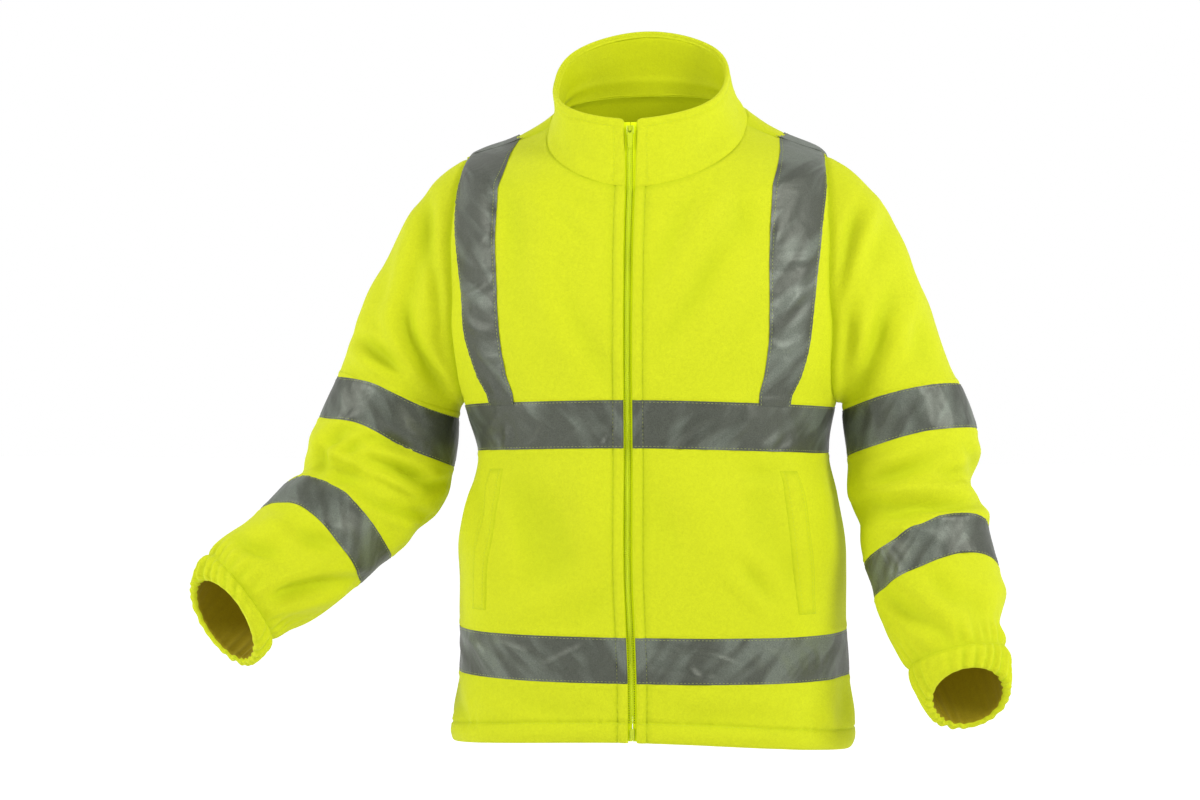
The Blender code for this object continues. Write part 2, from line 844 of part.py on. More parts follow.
def zip_point(kind, at, x_away):
    if kind == "body":
        angle = zip_angle(at, 1, x_away)
        return body(angle, at), body_normal(angle, at)
    height = COLLAR.get("front_z", at)
    x = ZIP.get("middle", height) + x_away - COLLAR.get("shift", at)
    angle = angle_for(x, at, COLLAR)
    return collar(angle, at), collar_normal(angle, at)


def zip_axes(kind, at, step):
    # Across, out and up the zip at one station.
    point, out = zip_point(kind, at, 0.0)
    ahead = zip_point(kind, at + step, 0.0)[0]
    up = (ahead - point).normalized()
    across = up.cross(-out).normalized()
    return point, (across, across.cross(-up).normalized(), up)


def build_zip(cloth, plastic):
    for side, word in ((RIGHT, "right"), (LEFT, "left")):
        outer, inner = [], []
        for kind, at, depth in zip_frames():
            spots = [zip_point(kind, at, side * away) for away in (0.3, 5.5, 14.5)]
            outer.append([p + n * depth for p, n in spots])
            inner.append([p + n * (depth - ZIP_TAPE) for p, n in spots])
        shell("zip_tape_" + word, outer, inner, cloth)
    outer, inner = [], []
    top = ("collar", CHAIN_TOP, -COLLAR_DEPTH - ZIP_LIFT)
    for kind, at, depth in zip_frames() + [top]:
        if (kind == "body" and at < 20) or (kind == "collar" and at > CHAIN_TOP):
            continue
        spots = [zip_point(kind, at, away) for away in (-CHAIN_HALF, 0.0, CHAIN_HALF)]
        crown = (0.55, 1.0, 0.55)
        base = depth + LIFT
        outer.append([p + n * (base + CHAIN_DEEP * k) for (p, n), k in zip(spots, crown)])
        inner.append([p + n * base for p, n in spots])
    shell("zip_chain", outer, inner, plastic)


def block(name, centre, axes, sizes, skin, corner=0.4):
    # A small block with softened corners, standing on three given axes.
    shaped = bmesh.new()
    bmesh.ops.create_cube(shaped, size=1.0)
    bmesh.ops.scale(shaped, vec=Vector(sizes), verts=shaped.verts)
    bmesh.ops.bevel(shaped, geom=shaped.edges[:], offset=corner, segments=2, profile=0.5,
                    affect="EDGES", material=-1)
    points = []
    for vert in shaped.verts:
        points.append(centre + axes[0] * vert.co.x + axes[1] * vert.co.y + axes[2] * vert.co.z)
    shaped.verts.index_update()
    faces = [tuple(v.index for v in face.verts) for face in shaped.faces]
    shaped.free()
    return solid(name, points, faces, skin, smooth=False)


# The slider's bridge is a staple; the pull's top bar turns inside its window.
BRIDGE_WIDE = 1.8
BRIDGE_BAR = 0.9
WINDOW_OUT = 1.0       # from the hinge line to the inside of the staple
WINDOW_DOWN = 1.0
WINDOW_UP = 1.6
SLIDER_SIZE = (7.6, 2.6, 9.4)
PULL_THICK = 1.1
PULL_HALF = 2.9
EYE_HALF = (1.6, 1.5)
PULL_BAR = 0.65        # half the height of the top bar
PULL_LONG = 20.5


def slider_place():
    point, axes = zip_axes("collar", SLIDER_SHARE, 0.02)
    middle = point + axes[1] * (-COLLAR_DEPTH - ZIP_LIFT + LIFT + SLIDER_SIZE[1] / 2)
    hinge = middle + axes[1] * (SLIDER_SIZE[1] / 2 + WINDOW_OUT)
    return middle, hinge, axes


def build_slider(plastic):
    middle, hinge, axes = slider_place()
    slider = block("zip_slider", middle, axes, SLIDER_SIZE, plastic, corner=0.8)
    low = -WINDOW_DOWN - BRIDGE_BAR
    high = WINDOW_UP + BRIDGE_BAR
    out = WINDOW_OUT + BRIDGE_BAR
    root = -WINDOW_OUT - 0.7
    outline = (
        (root, low), (out - 0.5, low), (out, low + 0.5), (out, high - 0.5),
        (out - 0.5, high), (root, high), (root, WINDOW_UP), (WINDOW_OUT, WINDOW_UP),
        (WINDOW_OUT, -WINDOW_DOWN), (root, -WINDOW_DOWN),
    )
    count = len(outline)
    points = []
    for x in (-BRIDGE_WIDE / 2, BRIDGE_WIDE / 2):
        for n, t in outline:
            points.append(hinge + axes[0] * x + axes[1] * n + axes[2] * t)
    faces = []
    for i in range(count):
        j = (i + 1) % count
        faces.append((i, j, j + count, i + count))
    for base in (0, count):
        for quad in ((0, 1, 8, 9), (1, 2, 8), (2, 3, 7, 8), (3, 4, 7), (4, 5, 6, 7)):
            faces.append(tuple(base + i for i in quad))
    bridge = solid("bridge", points, faces, plastic, smooth=False)
    join = slider.modifiers.new("bridge", "BOOLEAN")
    join.operation = "UNION"
    join.solver = "EXACT"
    join.object = bridge
    view = bpy.context.evaluated_depsgraph_get()
    joined = bpy.data.meshes.new_from_object(slider.evaluated_get(view))
    slider.modifiers.clear()
    slider.data = joined
    bpy.data.objects.remove(bridge, do_unlink=True)


def build_pull(plastic):
    middle, hinge, axes = slider_place()
    eye_middle = -PULL_BAR - EYE_HALF[1]
    loops = ([], [])
    steps = 24
    for i in range(steps):
        a = 2 * math.pi * i / steps
        c, s = math.cos(a), math.sin(a)
        eye = (EYE_HALF[0] * math.copysign(abs(c) ** 0.35, c),
               eye_middle + EYE_HALF[1] * math.copysign(abs(s) ** 0.35, s))
        if s >= 0:
            rim = (PULL_HALF * math.copysign(abs(c) ** 0.7, c),
                   eye_middle + (EYE_HALF[1] + 2 * PULL_BAR) * abs(s) ** 0.7)
        else:
            rim = (PULL_HALF * math.copysign(abs(c) ** 0.35, c) * (1 - 0.16 * abs(s)),
                   eye_middle - (PULL_LONG + eye_middle) * abs(s) ** 1.1)
        loops[0].append(eye)
        loops[1].append(rim)
    points = []
    for n in (PULL_THICK / 2, -PULL_THICK / 2):
        for loop in loops:
            for x, t in loop:
                points.append(hinge + axes[0] * x + axes[1] * n + axes[2] * t)
    faces = []
    for i in range(steps):
        j = (i + 1) % steps
        faces.append((i, j, j + steps, i + steps))
        faces.append((i + 3 * steps, j + 3 * steps, j + 2 * steps, i + 2 * steps))
        faces.append((i + steps, j + steps, j + 3 * steps, i + 3 * steps))
        faces.append((i + 2 * steps, j + 2 * steps, j, i))
    pull = solid("zip_pull", points, faces, plastic, smooth=False)
    line = place(hinge)
    pull.data.transform(Matrix.Translation(-line))
    pull.location = line


def build_box(plastic):
    point, axes = zip_axes("body", BOX_LEVEL, 3.0)
    centre = point + axes[1] * (-CLOTH_DEPTH - ZIP_LIFT + LIFT + 1.4)
    block("zip_box", centre, axes, (5.4, 2.8, 12.0), plastic, corner=0.7)


def main():
    clear_scene()
    fleece = material("fleece", "D9E621", 0.95)
    tape = material("reflective_tape", "6A6B64", 0.45)
    zip_cloth = material("zip_tape", "C9D620", 0.85)
    plastic = material("zip_plastic", "A9B81C", 0.4)

    for side, word in ((RIGHT, "right"), (LEFT, "left")):
        grid, rims = body_grid(lambda level: front_places(level, side), "front", (None, side))
        panel("front_" + word, grid, rims, ("end", "top"), fleece, True)
        last = len(grid[0]) - 1
        low = [ROW_LEVELS.index(level) for level in LOW_BAND]
        chest = [ROW_LEVELS.index(level) for level in CHEST_BAND]
        laid_on("low_band_front_" + word, grid, rims, low, (0, last), LIFT, TAPE, tape, ("end",))
        laid_on("chest_band_front_" + word, grid, rims, chest, (0, last), LIFT, TAPE, tape, ("end",))
        pocket = [ROW_LEVELS.index(level) for level in POCKET_ROWS]
        inner = len(grid[0]) - 5
        laid_on("pocket_welt_" + word, grid, rims, pocket, (inner, inner + 1), LIFT, WELT, fleece)
        brace = list(range(ROW_LEVELS.index(CHEST_BAND[1]), len(ROW_LEVELS)))
        laid_on("brace_front_" + word, grid, rims, brace, (inner, inner + 1), BRACE_LIFT,
                TAPE, tape, ("bottom", "top"))
        build_sleeve(side, word, fleece, tape)

    grid, rims = body_grid(back_places, "back", (LEFT, RIGHT))
    panel("back", grid, rims, ("start", "end", "top"), fleece, False)
    last = len(grid[0]) - 1
    low = [ROW_LEVELS.index(level) for level in LOW_BAND]
    chest = [ROW_LEVELS.index(level) for level in CHEST_BAND]
    laid_on("low_band_back", grid, rims, low, (0, last), LIFT, TAPE, tape, ("start", "end"))
    laid_on("chest_band_back", grid, rims, chest, (0, last), LIFT, TAPE, tape, ("start", "end"))
    brace = list(range(ROW_LEVELS.index(CHEST_BAND[1]), len(ROW_LEVELS)))
    for word, first in (("left", 3), ("right", last - 4)):
        laid_on("brace_back_" + word, grid, rims, brace, (first, first + 1), BRACE_LIFT,
                TAPE, tape, ("bottom", "top"))
    build_collar(fleece)
    build_zip(zip_cloth, plastic)
    build_slider(plastic)
    build_pull(plastic)
    build_box(plastic)


main()
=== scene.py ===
# Hi-vis fleece sweatshirt, worn shape with nobody in it.
# The cloth, reflective tape, stitching and zip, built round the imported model.
import bpy
import bmesh
import math
import numpy as np
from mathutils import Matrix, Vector


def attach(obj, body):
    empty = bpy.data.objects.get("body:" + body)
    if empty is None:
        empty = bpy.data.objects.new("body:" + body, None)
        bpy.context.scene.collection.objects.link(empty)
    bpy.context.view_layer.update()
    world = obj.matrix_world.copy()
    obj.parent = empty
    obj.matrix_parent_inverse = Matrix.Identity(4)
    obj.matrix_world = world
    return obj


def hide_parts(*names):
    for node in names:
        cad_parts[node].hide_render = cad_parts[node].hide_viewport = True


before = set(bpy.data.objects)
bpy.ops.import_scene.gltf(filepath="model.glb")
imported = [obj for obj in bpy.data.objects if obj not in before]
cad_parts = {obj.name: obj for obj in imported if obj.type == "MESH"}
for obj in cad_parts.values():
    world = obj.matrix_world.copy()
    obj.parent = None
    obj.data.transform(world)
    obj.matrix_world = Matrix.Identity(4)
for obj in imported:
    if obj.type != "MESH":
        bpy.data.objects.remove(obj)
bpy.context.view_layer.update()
scene = bpy.context.scene

mm = 0.001
heldAt = np.array((0.0, 13.0, 640.0))   # between the shoulders, mm above the side of the hem
wearersLeft, wearersRight = 1, -1
words = {wearersLeft: "left", wearersRight: "right"}


# Sizes of the garment, in millimetres.
cloth = {
    "fleece": 2.2,        # one layer
    "turned": 3.8,        # two layers at the hem and along the zip
    "cell": 3.4,          # spacing of the mesh
    "hemTurn": 22.0,
    "facing": 11.0,       # edge to topstitch along the zip
    "fullness": 0.06,     # how far the rings swell beyond a plain ellipse
    "foldTop": 650.0,     # the body's folds are gone above this level
    "foldFade": 80.0,
    "zipClear": 9.0,      # degrees beside the zip that stay flat
    "softRim": 0.3,       # rounding of a cut edge, as a share of its thickness
    "armpit": 373.0,
    "tip": 636.0,
    "neck": 671.0,
}


def rowsOf(columns, rows):
    # A table whose named columns can be read at any place between its rows.
    data = np.array(rows, float)
    keys = data[:, 0]
    made = {"at": keys}
    for place, name in enumerate(columns.split()):
        column = data[:, place]
        steps = np.diff(column) / np.diff(keys)
        slope = np.empty_like(column)
        slope[0], slope[-1] = steps[0], steps[-1]
        same = steps[:-1] * steps[1:] > 0
        total = np.where(same, steps[:-1] + steps[1:], 1.0)
        slope[1:-1] = np.where(same, 2 * steps[:-1] * steps[1:] / total, 0.0)
        made[name] = (column, slope)
    return made


def look(table, name, at):
    keys = table["at"]
    column, slope = table[name]
    at = np.asarray(at, float)
    i = np.clip(np.searchsorted(keys, at, side="left") - 1, 0, len(keys) - 2)
    span = keys[i + 1] - keys[i]
    t = (at - keys[i]) / span
    rise = column[i + 1] - column[i]
    a, b = slope[i] * span, slope[i + 1] * span
    within = column[i] + t * (a + t * (3 * rise - 2 * a - b + t * (a + b - 2 * rise)))
    below = column[0] + slope[0] * (at - keys[0])
    above = column[-1] + slope[-1] * (at - keys[-1])
    return np.where(at < keys[0], below, np.where(at > keys[-1], above, within))


bodyRings = rowsOf("level halfWidth shift sideY frontY frontZ backY backZ", (
    (0, 217, 2, -4, -148, 20, 128, 8),
    (24, 219, 3, -4, -147, 42, 128, 30),
    (79, 210, 3.5, -4, -146, 82, 127, 78),
    (127, 208.5, 3.5, -5, -146, 130, 124, 126),
    (205, 209, 3, -6, -146, 208, 118, 206),
    (270, 199.5, 4, -8, -143, 280, 112, 272),
    (318, 189.5, 3, -9, -140, 328, 108, 321),
    (366, 199, 0, -6, -142, 377, 112, 368),
    (400, 209, -2, -4, -142, 408, 115, 402),
    (470, 221, -4, 2, -139, 462, 116, 472),
    (540, 219, -6, 8, -131, 514, 110, 542),
    (590, 210, -7, 11, -124, 548, 102, 592),
    (620, 201, -7, 12, -118, 567, 96, 624),
    (636, 194, -7, 13, -115, 576, 92, 643),
    (650, 156, -3.5, 13, -111, 585, 86, 665),
    (662, 126, -3, 13, -108, 593, 80, 688),
    (671, 108, -4, 13, -105, 600, 75, 708),
))
collarRings = rowsOf("share halfWidth shift sideY sideZ frontY frontZ backY backZ", (
    (0.0, 108, -4, 13, 671, -105, 600, 75, 708),
    (0.3, 99, -6, 13, 687, -99, 622, 79, 729),
    (0.65, 95, -8, 12, 705, -93, 647, 78, 753),
    (1.0, 94.5, -11, 10, 722, -88, 672, 75, 779),
))
armhole = rowsOf("level front back", (
    (373, 0, 0), (380, 12, 10), (394, 18.5, 15.5), (415, 22.5, 19), (450, 26, 22),
    (490, 28, 24), (530, 27, 23), (565, 24, 21), (595, 19, 16.5), (618, 12.5, 11),
    (630, 7, 6.5), (636, 0, 0),
))
panelLines = rowsOf("level neck inner outer", (
    (0, 100, 168, 190), (127, 100, 167, 186), (150, 100, 165, 183), (190, 101, 162, 181),
    (235, 102, 156, 176), (270, 102, 150, 170), (297, 102, 145, 162), (317, 103, 138, 158),
    (366, 104, 128.5, 160), (398, 105, 136, 172), (450, 106, 142, 184), (500, 106, 143.5, 189),
    (560, 107, 144, 195), (610, 108, 145.5, 198), (638, 108, 146, 194), (657, 108, 146, 180),
    (671, 109, 146, 170),
))
zipLine = rowsOf("height middle halfGap", (
    (20, -0.5, 4.4), (90, -1.2, 4.6), (210, -5.5, 4.8), (350, -6.0, 4.6), (480, -7.0, 4.8),
    (600, -8.5, 5.4), (640, -9.5, 6.0), (672, -10.5, 6.8),
))
# Large folds of the body: degrees round, level, lean, reach round, reach up, height.
bodyFolds = (
    (-66, 330, 0.28, 16, 60, -3.5),
    (-48, 300, 0.30, 12, 80, 2.5),
    (64, 322, -0.30, 15, 60, -3.5),
    (50, 286, -0.24, 12, 70, 2.0),
    (-28, 232, 0.10, 9, 90, -1.8),
    (-14, 250, 0.05, 8, 90, 1.8),
    (24, 205, -0.08, 9, 100, -1.6),
    (80, 60, 0.10, 9, 60, 4.0),
    (-78, 34, 0.05, 8, 24, -4.5),
    (-58, 480, 0.05, 8, 70, -2.0),
    (150, 330, -0.25, 14, 70, -4.0),
    (206, 300, 0.22, 14, 80, -3.5),
    (180, 560, 0.0, 34, 40, -2.0),
    (128, 80, 0.10, 12, 80, 3.0),
    (236, 90, -0.10, 12, 80, 3.0),
)


def stack(x, y, z):
    return np.stack(np.broadcast_arrays(x, y, z), axis=-1)


def unit(vectors):
    return vectors / np.maximum(np.linalg.norm(vectors, axis=-1, keepdims=True), 1e-9)


def wrapped(degrees):
    return (degrees + 180) % 360 - 180


def ringPoint(table, angle, at, level):
    sine, cosine = np.sin(angle), np.cos(angle)
    swell = 1 + cloth["fullness"] * (2 * sine * cosine) ** 2
    sideY = look(table, "sideY", at)
    edgeY = np.where(cosine > 0, look(table, "frontY", at), look(table, "backY", at))
    frontZ, backZ = look(table, "frontZ", at), look(table, "backZ", at)
    lean = (frontZ - backZ) / 2
    bow = (frontZ + backZ) / 2 - level
    return stack(
        look(table, "shift", at) + look(table, "halfWidth", at) * sine * swell,
        sideY + (edgeY - sideY) * np.abs(cosine) * swell,
        level + lean * cosine + bow * cosine * cosine,
    )


def plainBody(angle, level):
    return ringPoint(bodyRings, angle, level, np.asarray(level, float))


def collarPoint(angle, share):
    return ringPoint(collarRings, angle, share, look(collarRings, "sideZ", share))


def slopeNormal(surface, a, b, stepA, stepB):
    along = surface(a + stepA, b) - surface(a - stepA, b)
    up = surface(a, b + stepB) - surface(a, b - stepB)
    return unit(np.cross(along, up))


def bodyPoint(angle, level):
    degrees = np.degrees(angle) % 360
    total = np.zeros(np.broadcast(angle, level).shape)
    for middle, at, lean, reach, run, height in bodyFolds:
        rise = (level - at) / run
        off = wrapped(degrees - middle - lean * (level - at)) / reach
        total = total + height * np.exp(-rise ** 2 - off ** 2)
    calm = np.clip((cloth["foldTop"] - level) / cloth["foldFade"], 0, 1)
    front = np.clip(np.abs(wrapped(degrees)) / cloth["zipClear"], 0, 1)
    normal = slopeNormal(plainBody, angle, level, 0.01, 1.0)
    return plainBody(angle, level) + normal * (total * calm * front)[..., None]


def bodyNormal(angle, level):
    return slopeNormal(bodyPoint, angle, level, 0.012, 1.2)


def collarNormal(angle, share):
    return slopeNormal(collarPoint, angle, share, 0.012, 0.01)


def angleFor(x, at, table=bodyRings):
    half = look(table, "halfWidth", at)
    reach = np.abs(x) / half
    sine = np.minimum(1.0, reach)
    for _ in range(8):
        swell = 1 + cloth["fullness"] * 4 * sine * sine * (1 - sine * sine)
        sine = np.minimum(1.0, reach / swell)
    return np.copysign(np.arcsin(sine), x)


# Where the lines of the cut run on the body.
def columnLevel(row, top):
    low = cloth["armpit"]
    return np.where(row <= low, row, low + (row - low) / (cloth["tip"] - low) * (top - low))


def seamAngle(row, part):
    return math.pi / 2 - np.radians(np.where(row <= cloth["armpit"], 0.0, look(armhole, part, row)))


neckDegrees = {"front": (25.0, 47.0, 68.0, 90.0), "back": (157.0, 135.0, 112.0, 90.0)}
neckShares = (0.32, 0.54, 0.77, 1.0)
braceTop = {"inner": 657.0, "outer": 638.5}


def halfLines(row, part):
    # Angle and level of each line of half a panel, neck lines first, seam last.
    lines = []
    level = columnLevel(row, cloth["neck"])
    for number, degrees in enumerate(neckDegrees[part]):
        settled = math.radians(degrees if part == "front" else 180 - degrees)
        sine = math.sin(settled)
        across = sine * (1 + cloth["fullness"] * 4 * sine * sine * (1 - sine * sine))
        rise = np.clip((level - cloth["armpit"]) / (cloth["neck"] - cloth["armpit"]), 0, None) ** 2
        share = neckShares[number]
        share = share + (across - share) * rise
        angle = angleFor(look(panelLines, "neck", level) * share, level)
        lines.append((np.where(level >= cloth["neck"] - 0.01, settled, angle), level))
    for name, top in braceTop.items():
        at = columnLevel(row, top)
        angle = angleFor(look(panelLines, name, at), at)
        lines.append((np.where(row >= cloth["tip"], math.pi / 2, angle), at))
    last = lines[-1]
    end = (seamAngle(row, part), np.minimum(row, cloth["tip"]))
    for share in (0.36, 0.7):
        lines.append(tuple(a + (b - a) * share for a, b in zip(last, end)))
    return lines + [end]


def zipAngle(level, side, away):
    height = plainBody(0.0, level)[..., 2]
    x = look(zipLine, "middle", height) + side * away - look(bodyRings, "shift", level)
    return angleFor(x, level)


def frontLines(row, side):
    level = columnLevel(row, cloth["neck"])
    gap = look(zipLine, "halfGap", plainBody(0.0, level)[..., 2])
    facing = cloth["facing"]
    lines = [(zipAngle(level, side, gap + away), level) for away in (0.0, facing, facing + 1.6)]
    return lines + [(side * angle, at) for angle, at in halfLines(row, "front")]


def backLines(row):
    half = halfLines(row, "back")
    level = columnLevel(row, cloth["neck"])
    toLeft = [(math.pi - angle, at) for angle, at in reversed(half)]
    toRight = [(math.pi + angle, at) for angle, at in half]
    return toLeft + [(np.full_like(level, math.pi), level)] + toRight


def between(lines, cells):
    # Splits the spaces between named lines into columns; cells holds a count
    # or a list of shares for each space.
    angles, levels = [], []
    for space, shares in enumerate(cells):
        if isinstance(shares, int):
            shares = [k / shares for k in range(shares)]
        for share in shares:
            for out, a, b in ((angles, lines[space][0], lines[space + 1][0]),
                              (levels, lines[space][1], lines[space + 1][1])):
                out.append(a + (b - a) * share)
    angles.append(lines[-1][0])
    levels.append(lines[-1][1])
    return np.stack(angles, axis=1), np.stack(levels, axis=1)


def columnOf(cells, space):
    # The column at which a space starts.
    return sum(shares if isinstance(shares, int) else len(shares) for shares in cells[:space])


def steps(start, end, cell, line):
    # Even steps with a few close ones beside one line.
    count = max(2, round((end - start) / cell))
    rows = list(np.linspace(start, end, count + 1))
    rows = [r for r in rows if abs(r - line) > cell or r in (start, end)]
    rows += [line + d for d in (-2.8, -1.5, -0.7, 0.0, 0.7, 1.5, 2.8)]
    return np.array(sorted(set(round(r, 3) for r in rows if start <= r <= end)))


# Relief of the cloth: creases, seams and edges.
lookingOut = {"front": -1, "back": 1}      # y sign of the side that shows


def creases(points, normals, rows, towards):
    # rows: three points (x, z) along a crease, its half width, its height (mm);
    # towards is the y sign of the side that carries them.
    x, z = points[..., 0], points[..., 2]
    total = np.zeros(x.shape)
    for x0, z0, x1, z1, x2, z2, wide, height in rows:
        bend = (2 * x1 - (x0 + x2) / 2, 2 * z1 - (z0 + z2) / 2)
        ts = np.linspace(0, 1, 15)
        cx = x0 * (1 - ts) ** 2 + 2 * bend[0] * ts * (1 - ts) + x2 * ts ** 2
        cz = z0 * (1 - ts) ** 2 + 2 * bend[1] * ts * (1 - ts) + z2 * ts ** 2
        best = np.full(x.shape, 1e9)
        share = np.zeros(x.shape)
        for k in range(len(ts) - 1):
            dx, dz = cx[k + 1] - cx[k], cz[k + 1] - cz[k]
            t = np.clip(((x - cx[k]) * dx + (z - cz[k]) * dz) / (dx * dx + dz * dz), 0, 1)
            away = np.hypot(x - cx[k] - t * dx, z - cz[k] - t * dz)
            near = away < best
            best = np.where(near, away, best)
            share = np.where(near, (k + t) / (len(ts) - 1), share)
        # Deepest in the middle and gone at both ends, with the cloth rolled up beside it.
        taper = np.clip(np.sin(math.pi * (0.06 + 0.88 * share)), 0, 1) ** 0.8
        core = np.exp(-(best / wide) ** 2) - 0.38 * np.exp(-((best - 1.9 * wide) / wide) ** 2)
        total += height * taper * core
    shown = np.clip((normals[..., 1] * towards + 0.12) / 0.4, 0, 1)
    return total * shown * shown * (3 - 2 * shown)


def waves(points, size, height):
    # Slight unevenness of hanging cloth.
    x, y, z = (points[..., i] / size for i in range(3))
    total = np.sin(1.3 * x + 2.1 * z + 0.4) + 0.8 * np.sin(2.2 * x - 1.1 * z + 1.9 * y + 2.0)
    total += 0.7 * np.sin(3.1 * z + 1.7 * y - 0.9 * x + 4.1) + 0.5 * np.sin(4.3 * x + 2.6 * y + 0.7)
    return total * height / 2


def bell(distance, reach, power=2):
    # 1 on a line, fading to nothing beside it.
    return np.exp(-(distance / reach) ** power)


def seam(distance, depth=1.1, puff=0.5, reach=3.6):
    # Sinks softly to the seam line, with the cloth slightly proud beside it.
    return -depth * bell(distance, reach, 1.7) + puff * bell(distance - 9, 5)


def roll(distance, radius):
    # Rounds a folded edge.
    d = np.clip(radius - distance, 0, radius)
    return -(radius - np.sqrt(np.maximum(radius * radius - d * d, 0)))


def topstitch(distance, at, depth=0.9, reach=1.7, phase=None):
    # The groove that a row of stitches pulls into the cloth.
    dip = bell(distance - at, reach)
    if phase is not None:
        dip = dip * (1 + 0.22 * np.sin(phase / 1.9))
    return -depth * dip


def pressed(fromLow, fromHigh):
    # Cloth pressed flat under a tape, and puffed up along both its edges.
    under = 1 / (1 + np.exp(-fromLow / 0.8)) - 1 / (1 + np.exp(-fromHigh / 0.8))
    beside = bell(fromLow + 3.5, 3) + bell(fromHigh - 3.5, 3)
    return bodyRelief["tapePuff"] * beside - bodyRelief["tapePress"] * under


def puckers(distance, along, reach, height, length=9.0):
    # Short wrinkles that stand square to a sewn edge.
    beat = np.sin(along / length * 2 * math.pi + 1.7 * np.sin(along / 47.0))
    beat = beat * (0.55 + 0.45 * np.sin(along / 31.0 + 0.8)) + 0.4 * np.sin(along / length * 3.7)
    return height * beat * bell(distance, reach)


def chord(points, axis, reverse=False):
    # Distance run along a grid's rows (axis 1) or columns (axis 0), from either end.
    step = np.linalg.norm(np.diff(points, axis=axis), axis=-1)
    zero = np.zeros_like(np.take(step, [0], axis=axis))
    run = np.concatenate((zero, np.cumsum(step, axis=axis)), axis=axis)
    return np.take(run, [-1], axis=axis) - run if reverse else run


def fromEnds(points, axis):
    # Distance to the nearer end of each row (axis 1) or column (axis 0).
    return np.minimum(chord(points, axis), chord(points, axis, reverse=True))


def readAlong(spots, run, line):
    # The points of a line at given distances along it.
    return np.stack([np.interp(spots, run, line[:, i]) for i in range(3)], axis=-1)


# Grids of points made into pieces.
def newPiece(name, shaped, skins, node=None, slot=None):
    mesh = bpy.data.meshes.new(name)
    shaped.to_mesh(mesh)
    shaped.free()
    for skin in skins:
        mesh.materials.append(skin)
    for face in mesh.polygons:
        face.use_smooth = True
    piece = bpy.data.objects.new(name, mesh)
    scene.collection.objects.link(piece)
    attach(piece, "garment")
    if node:
        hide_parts(node)
    return piece


def spread(shaped, points, around=False, turned=None, paintedShade=None):
    # Lays a fresh grid of faces over the given rows and columns of points (mm).
    rows, columns = points.shape[:2]
    if around:
        points = np.concatenate((points, points[:, :1]), axis=1)
        columns += 1
        if paintedShade is not None:
            paintedShade = np.concatenate((paintedShade, paintedShade[:, :1]), axis=1)
    up = chord(points, 0).mean(axis=1, keepdims=True) + np.zeros((rows, columns))
    flat = np.stack((chord(points, 1), up), axis=-1) * mm
    uv = shaped.loops.layers.uv.verify()
    weights = shaped.verts.layers.deform.verify() if turned is not None else None
    # The painted shade goes into a float attribute that the fleece material reads.
    deep = shaped.verts.layers.float.new("paintedShade") if paintedShade is not None else None
    made = bmesh.ops.create_grid(shaped, x_segments=columns - 1, y_segments=rows - 1, size=1.0)
    place = (points - heldAt) * mm
    verts = made["verts"]
    edges = []
    for vert in verts:
        r = round((vert.co.y + 1) / 2 * (rows - 1))
        c = round((vert.co.x + 1) / 2 * (columns - 1))
        vert.co = place[r, c]
        for loop in vert.link_loops:
            loop[uv].uv = flat[r, c]
        if weights is not None:
            vert[weights][0] = float(turned[r, c])
        if deep is not None:
            vert[deep] = float(paintedShade[r, c])
        if c in (0, columns - 1):
            edges.append(vert)
    if around:
        bmesh.ops.remove_doubles(shaped, verts=edges, dist=1e-7)


def turnFacesOut(shaped, centre):
    # Turns all faces round if a sample of them mostly looks at the given middle (mm).
    middle = Vector(((np.array(centre, float) - heldAt) * mm).tolist())
    total = 0.0
    for face in list(shaped.faces)[::17]:
        total += face.normal.dot(face.calc_center_median() - middle) * face.calc_area()
    if total < 0:
        bmesh.ops.reverse_faces(shaped, faces=shaped.faces[:])


def clothPiece(name, points, skins, thick, node, slot,
               around=False, turned=None, centre=(0, 0, 400), paintedShade=None):
    # A thin shell: the given outer surface, with its thickness laid inwards.
    # turned marks doubled cloth; the last argument is how much painted shade each point takes in
    # folds, at seams and beside stitches.
    shaped = bmesh.new()
    spread(shaped, points, around, turned, paintedShade)
    shaped.normal_update()
    turnFacesOut(shaped, centre)
    piece = newPiece(name, shaped, skins, node, slot)
    wall = piece.modifiers.new("wall", "SOLIDIFY")
    wall.thickness = (cloth["turned"] if turned is not None else thick) * mm
    wall.offset = -1.0
    wall.use_rim = True
    if len(skins) > 1:
        wall.material_offset = 1
    if turned is not None:
        piece.vertex_groups.new(name="turned")
        wall.vertex_group = "turned"
        wall.thickness_vertex_group = thick / cloth["turned"]
    roundEdges(piece, thick)


def roundEdges(piece, thick):
    # Takes the hard corners off the shell's rim, and keeps the cloth beside it smooth.
    bevel = piece.modifiers.new("softRim", "BEVEL")
    bevel.width = cloth["softRim"] * thick * mm
    bevel.segments = 2
    bevel.limit_method = "ANGLE"
    bevel.angle_limit = math.radians(55)
    bevel.harden_normals = True


# Materials; their colours are hex values.
def linear(code):
    parts = [int(code[i:i + 2], 16) / 255 for i in (0, 2, 4)]
    curve = [c / 12.92 if c <= 0.04045 else ((c + 0.055) / 1.055) ** 2.4 for c in parts]
    return (*curve, 1.0)


def addNode(tree, kind, settings=None, links=None):
    # Adds one node; settings are sockets or properties, links are (socket, source) pairs.
    node = tree.nodes.new(kind)
    for name, value in (settings or {}).items():
        if name in node.inputs:
            node.inputs[name].default_value = value
        else:
            setattr(node, name, value)
    for name, source in (links or {}).items():
        tree.links.new(source, node.inputs[name])
    return node


def newMaterial(name, settings):
    skin = bpy.data.materials.new(name)
    skin.use_nodes = True
    tree = skin.node_tree
    shader = tree.nodes["Principled BSDF"]
    for socket, value in settings.items():
        shader.inputs[socket].default_value = value
    return skin, tree, shader


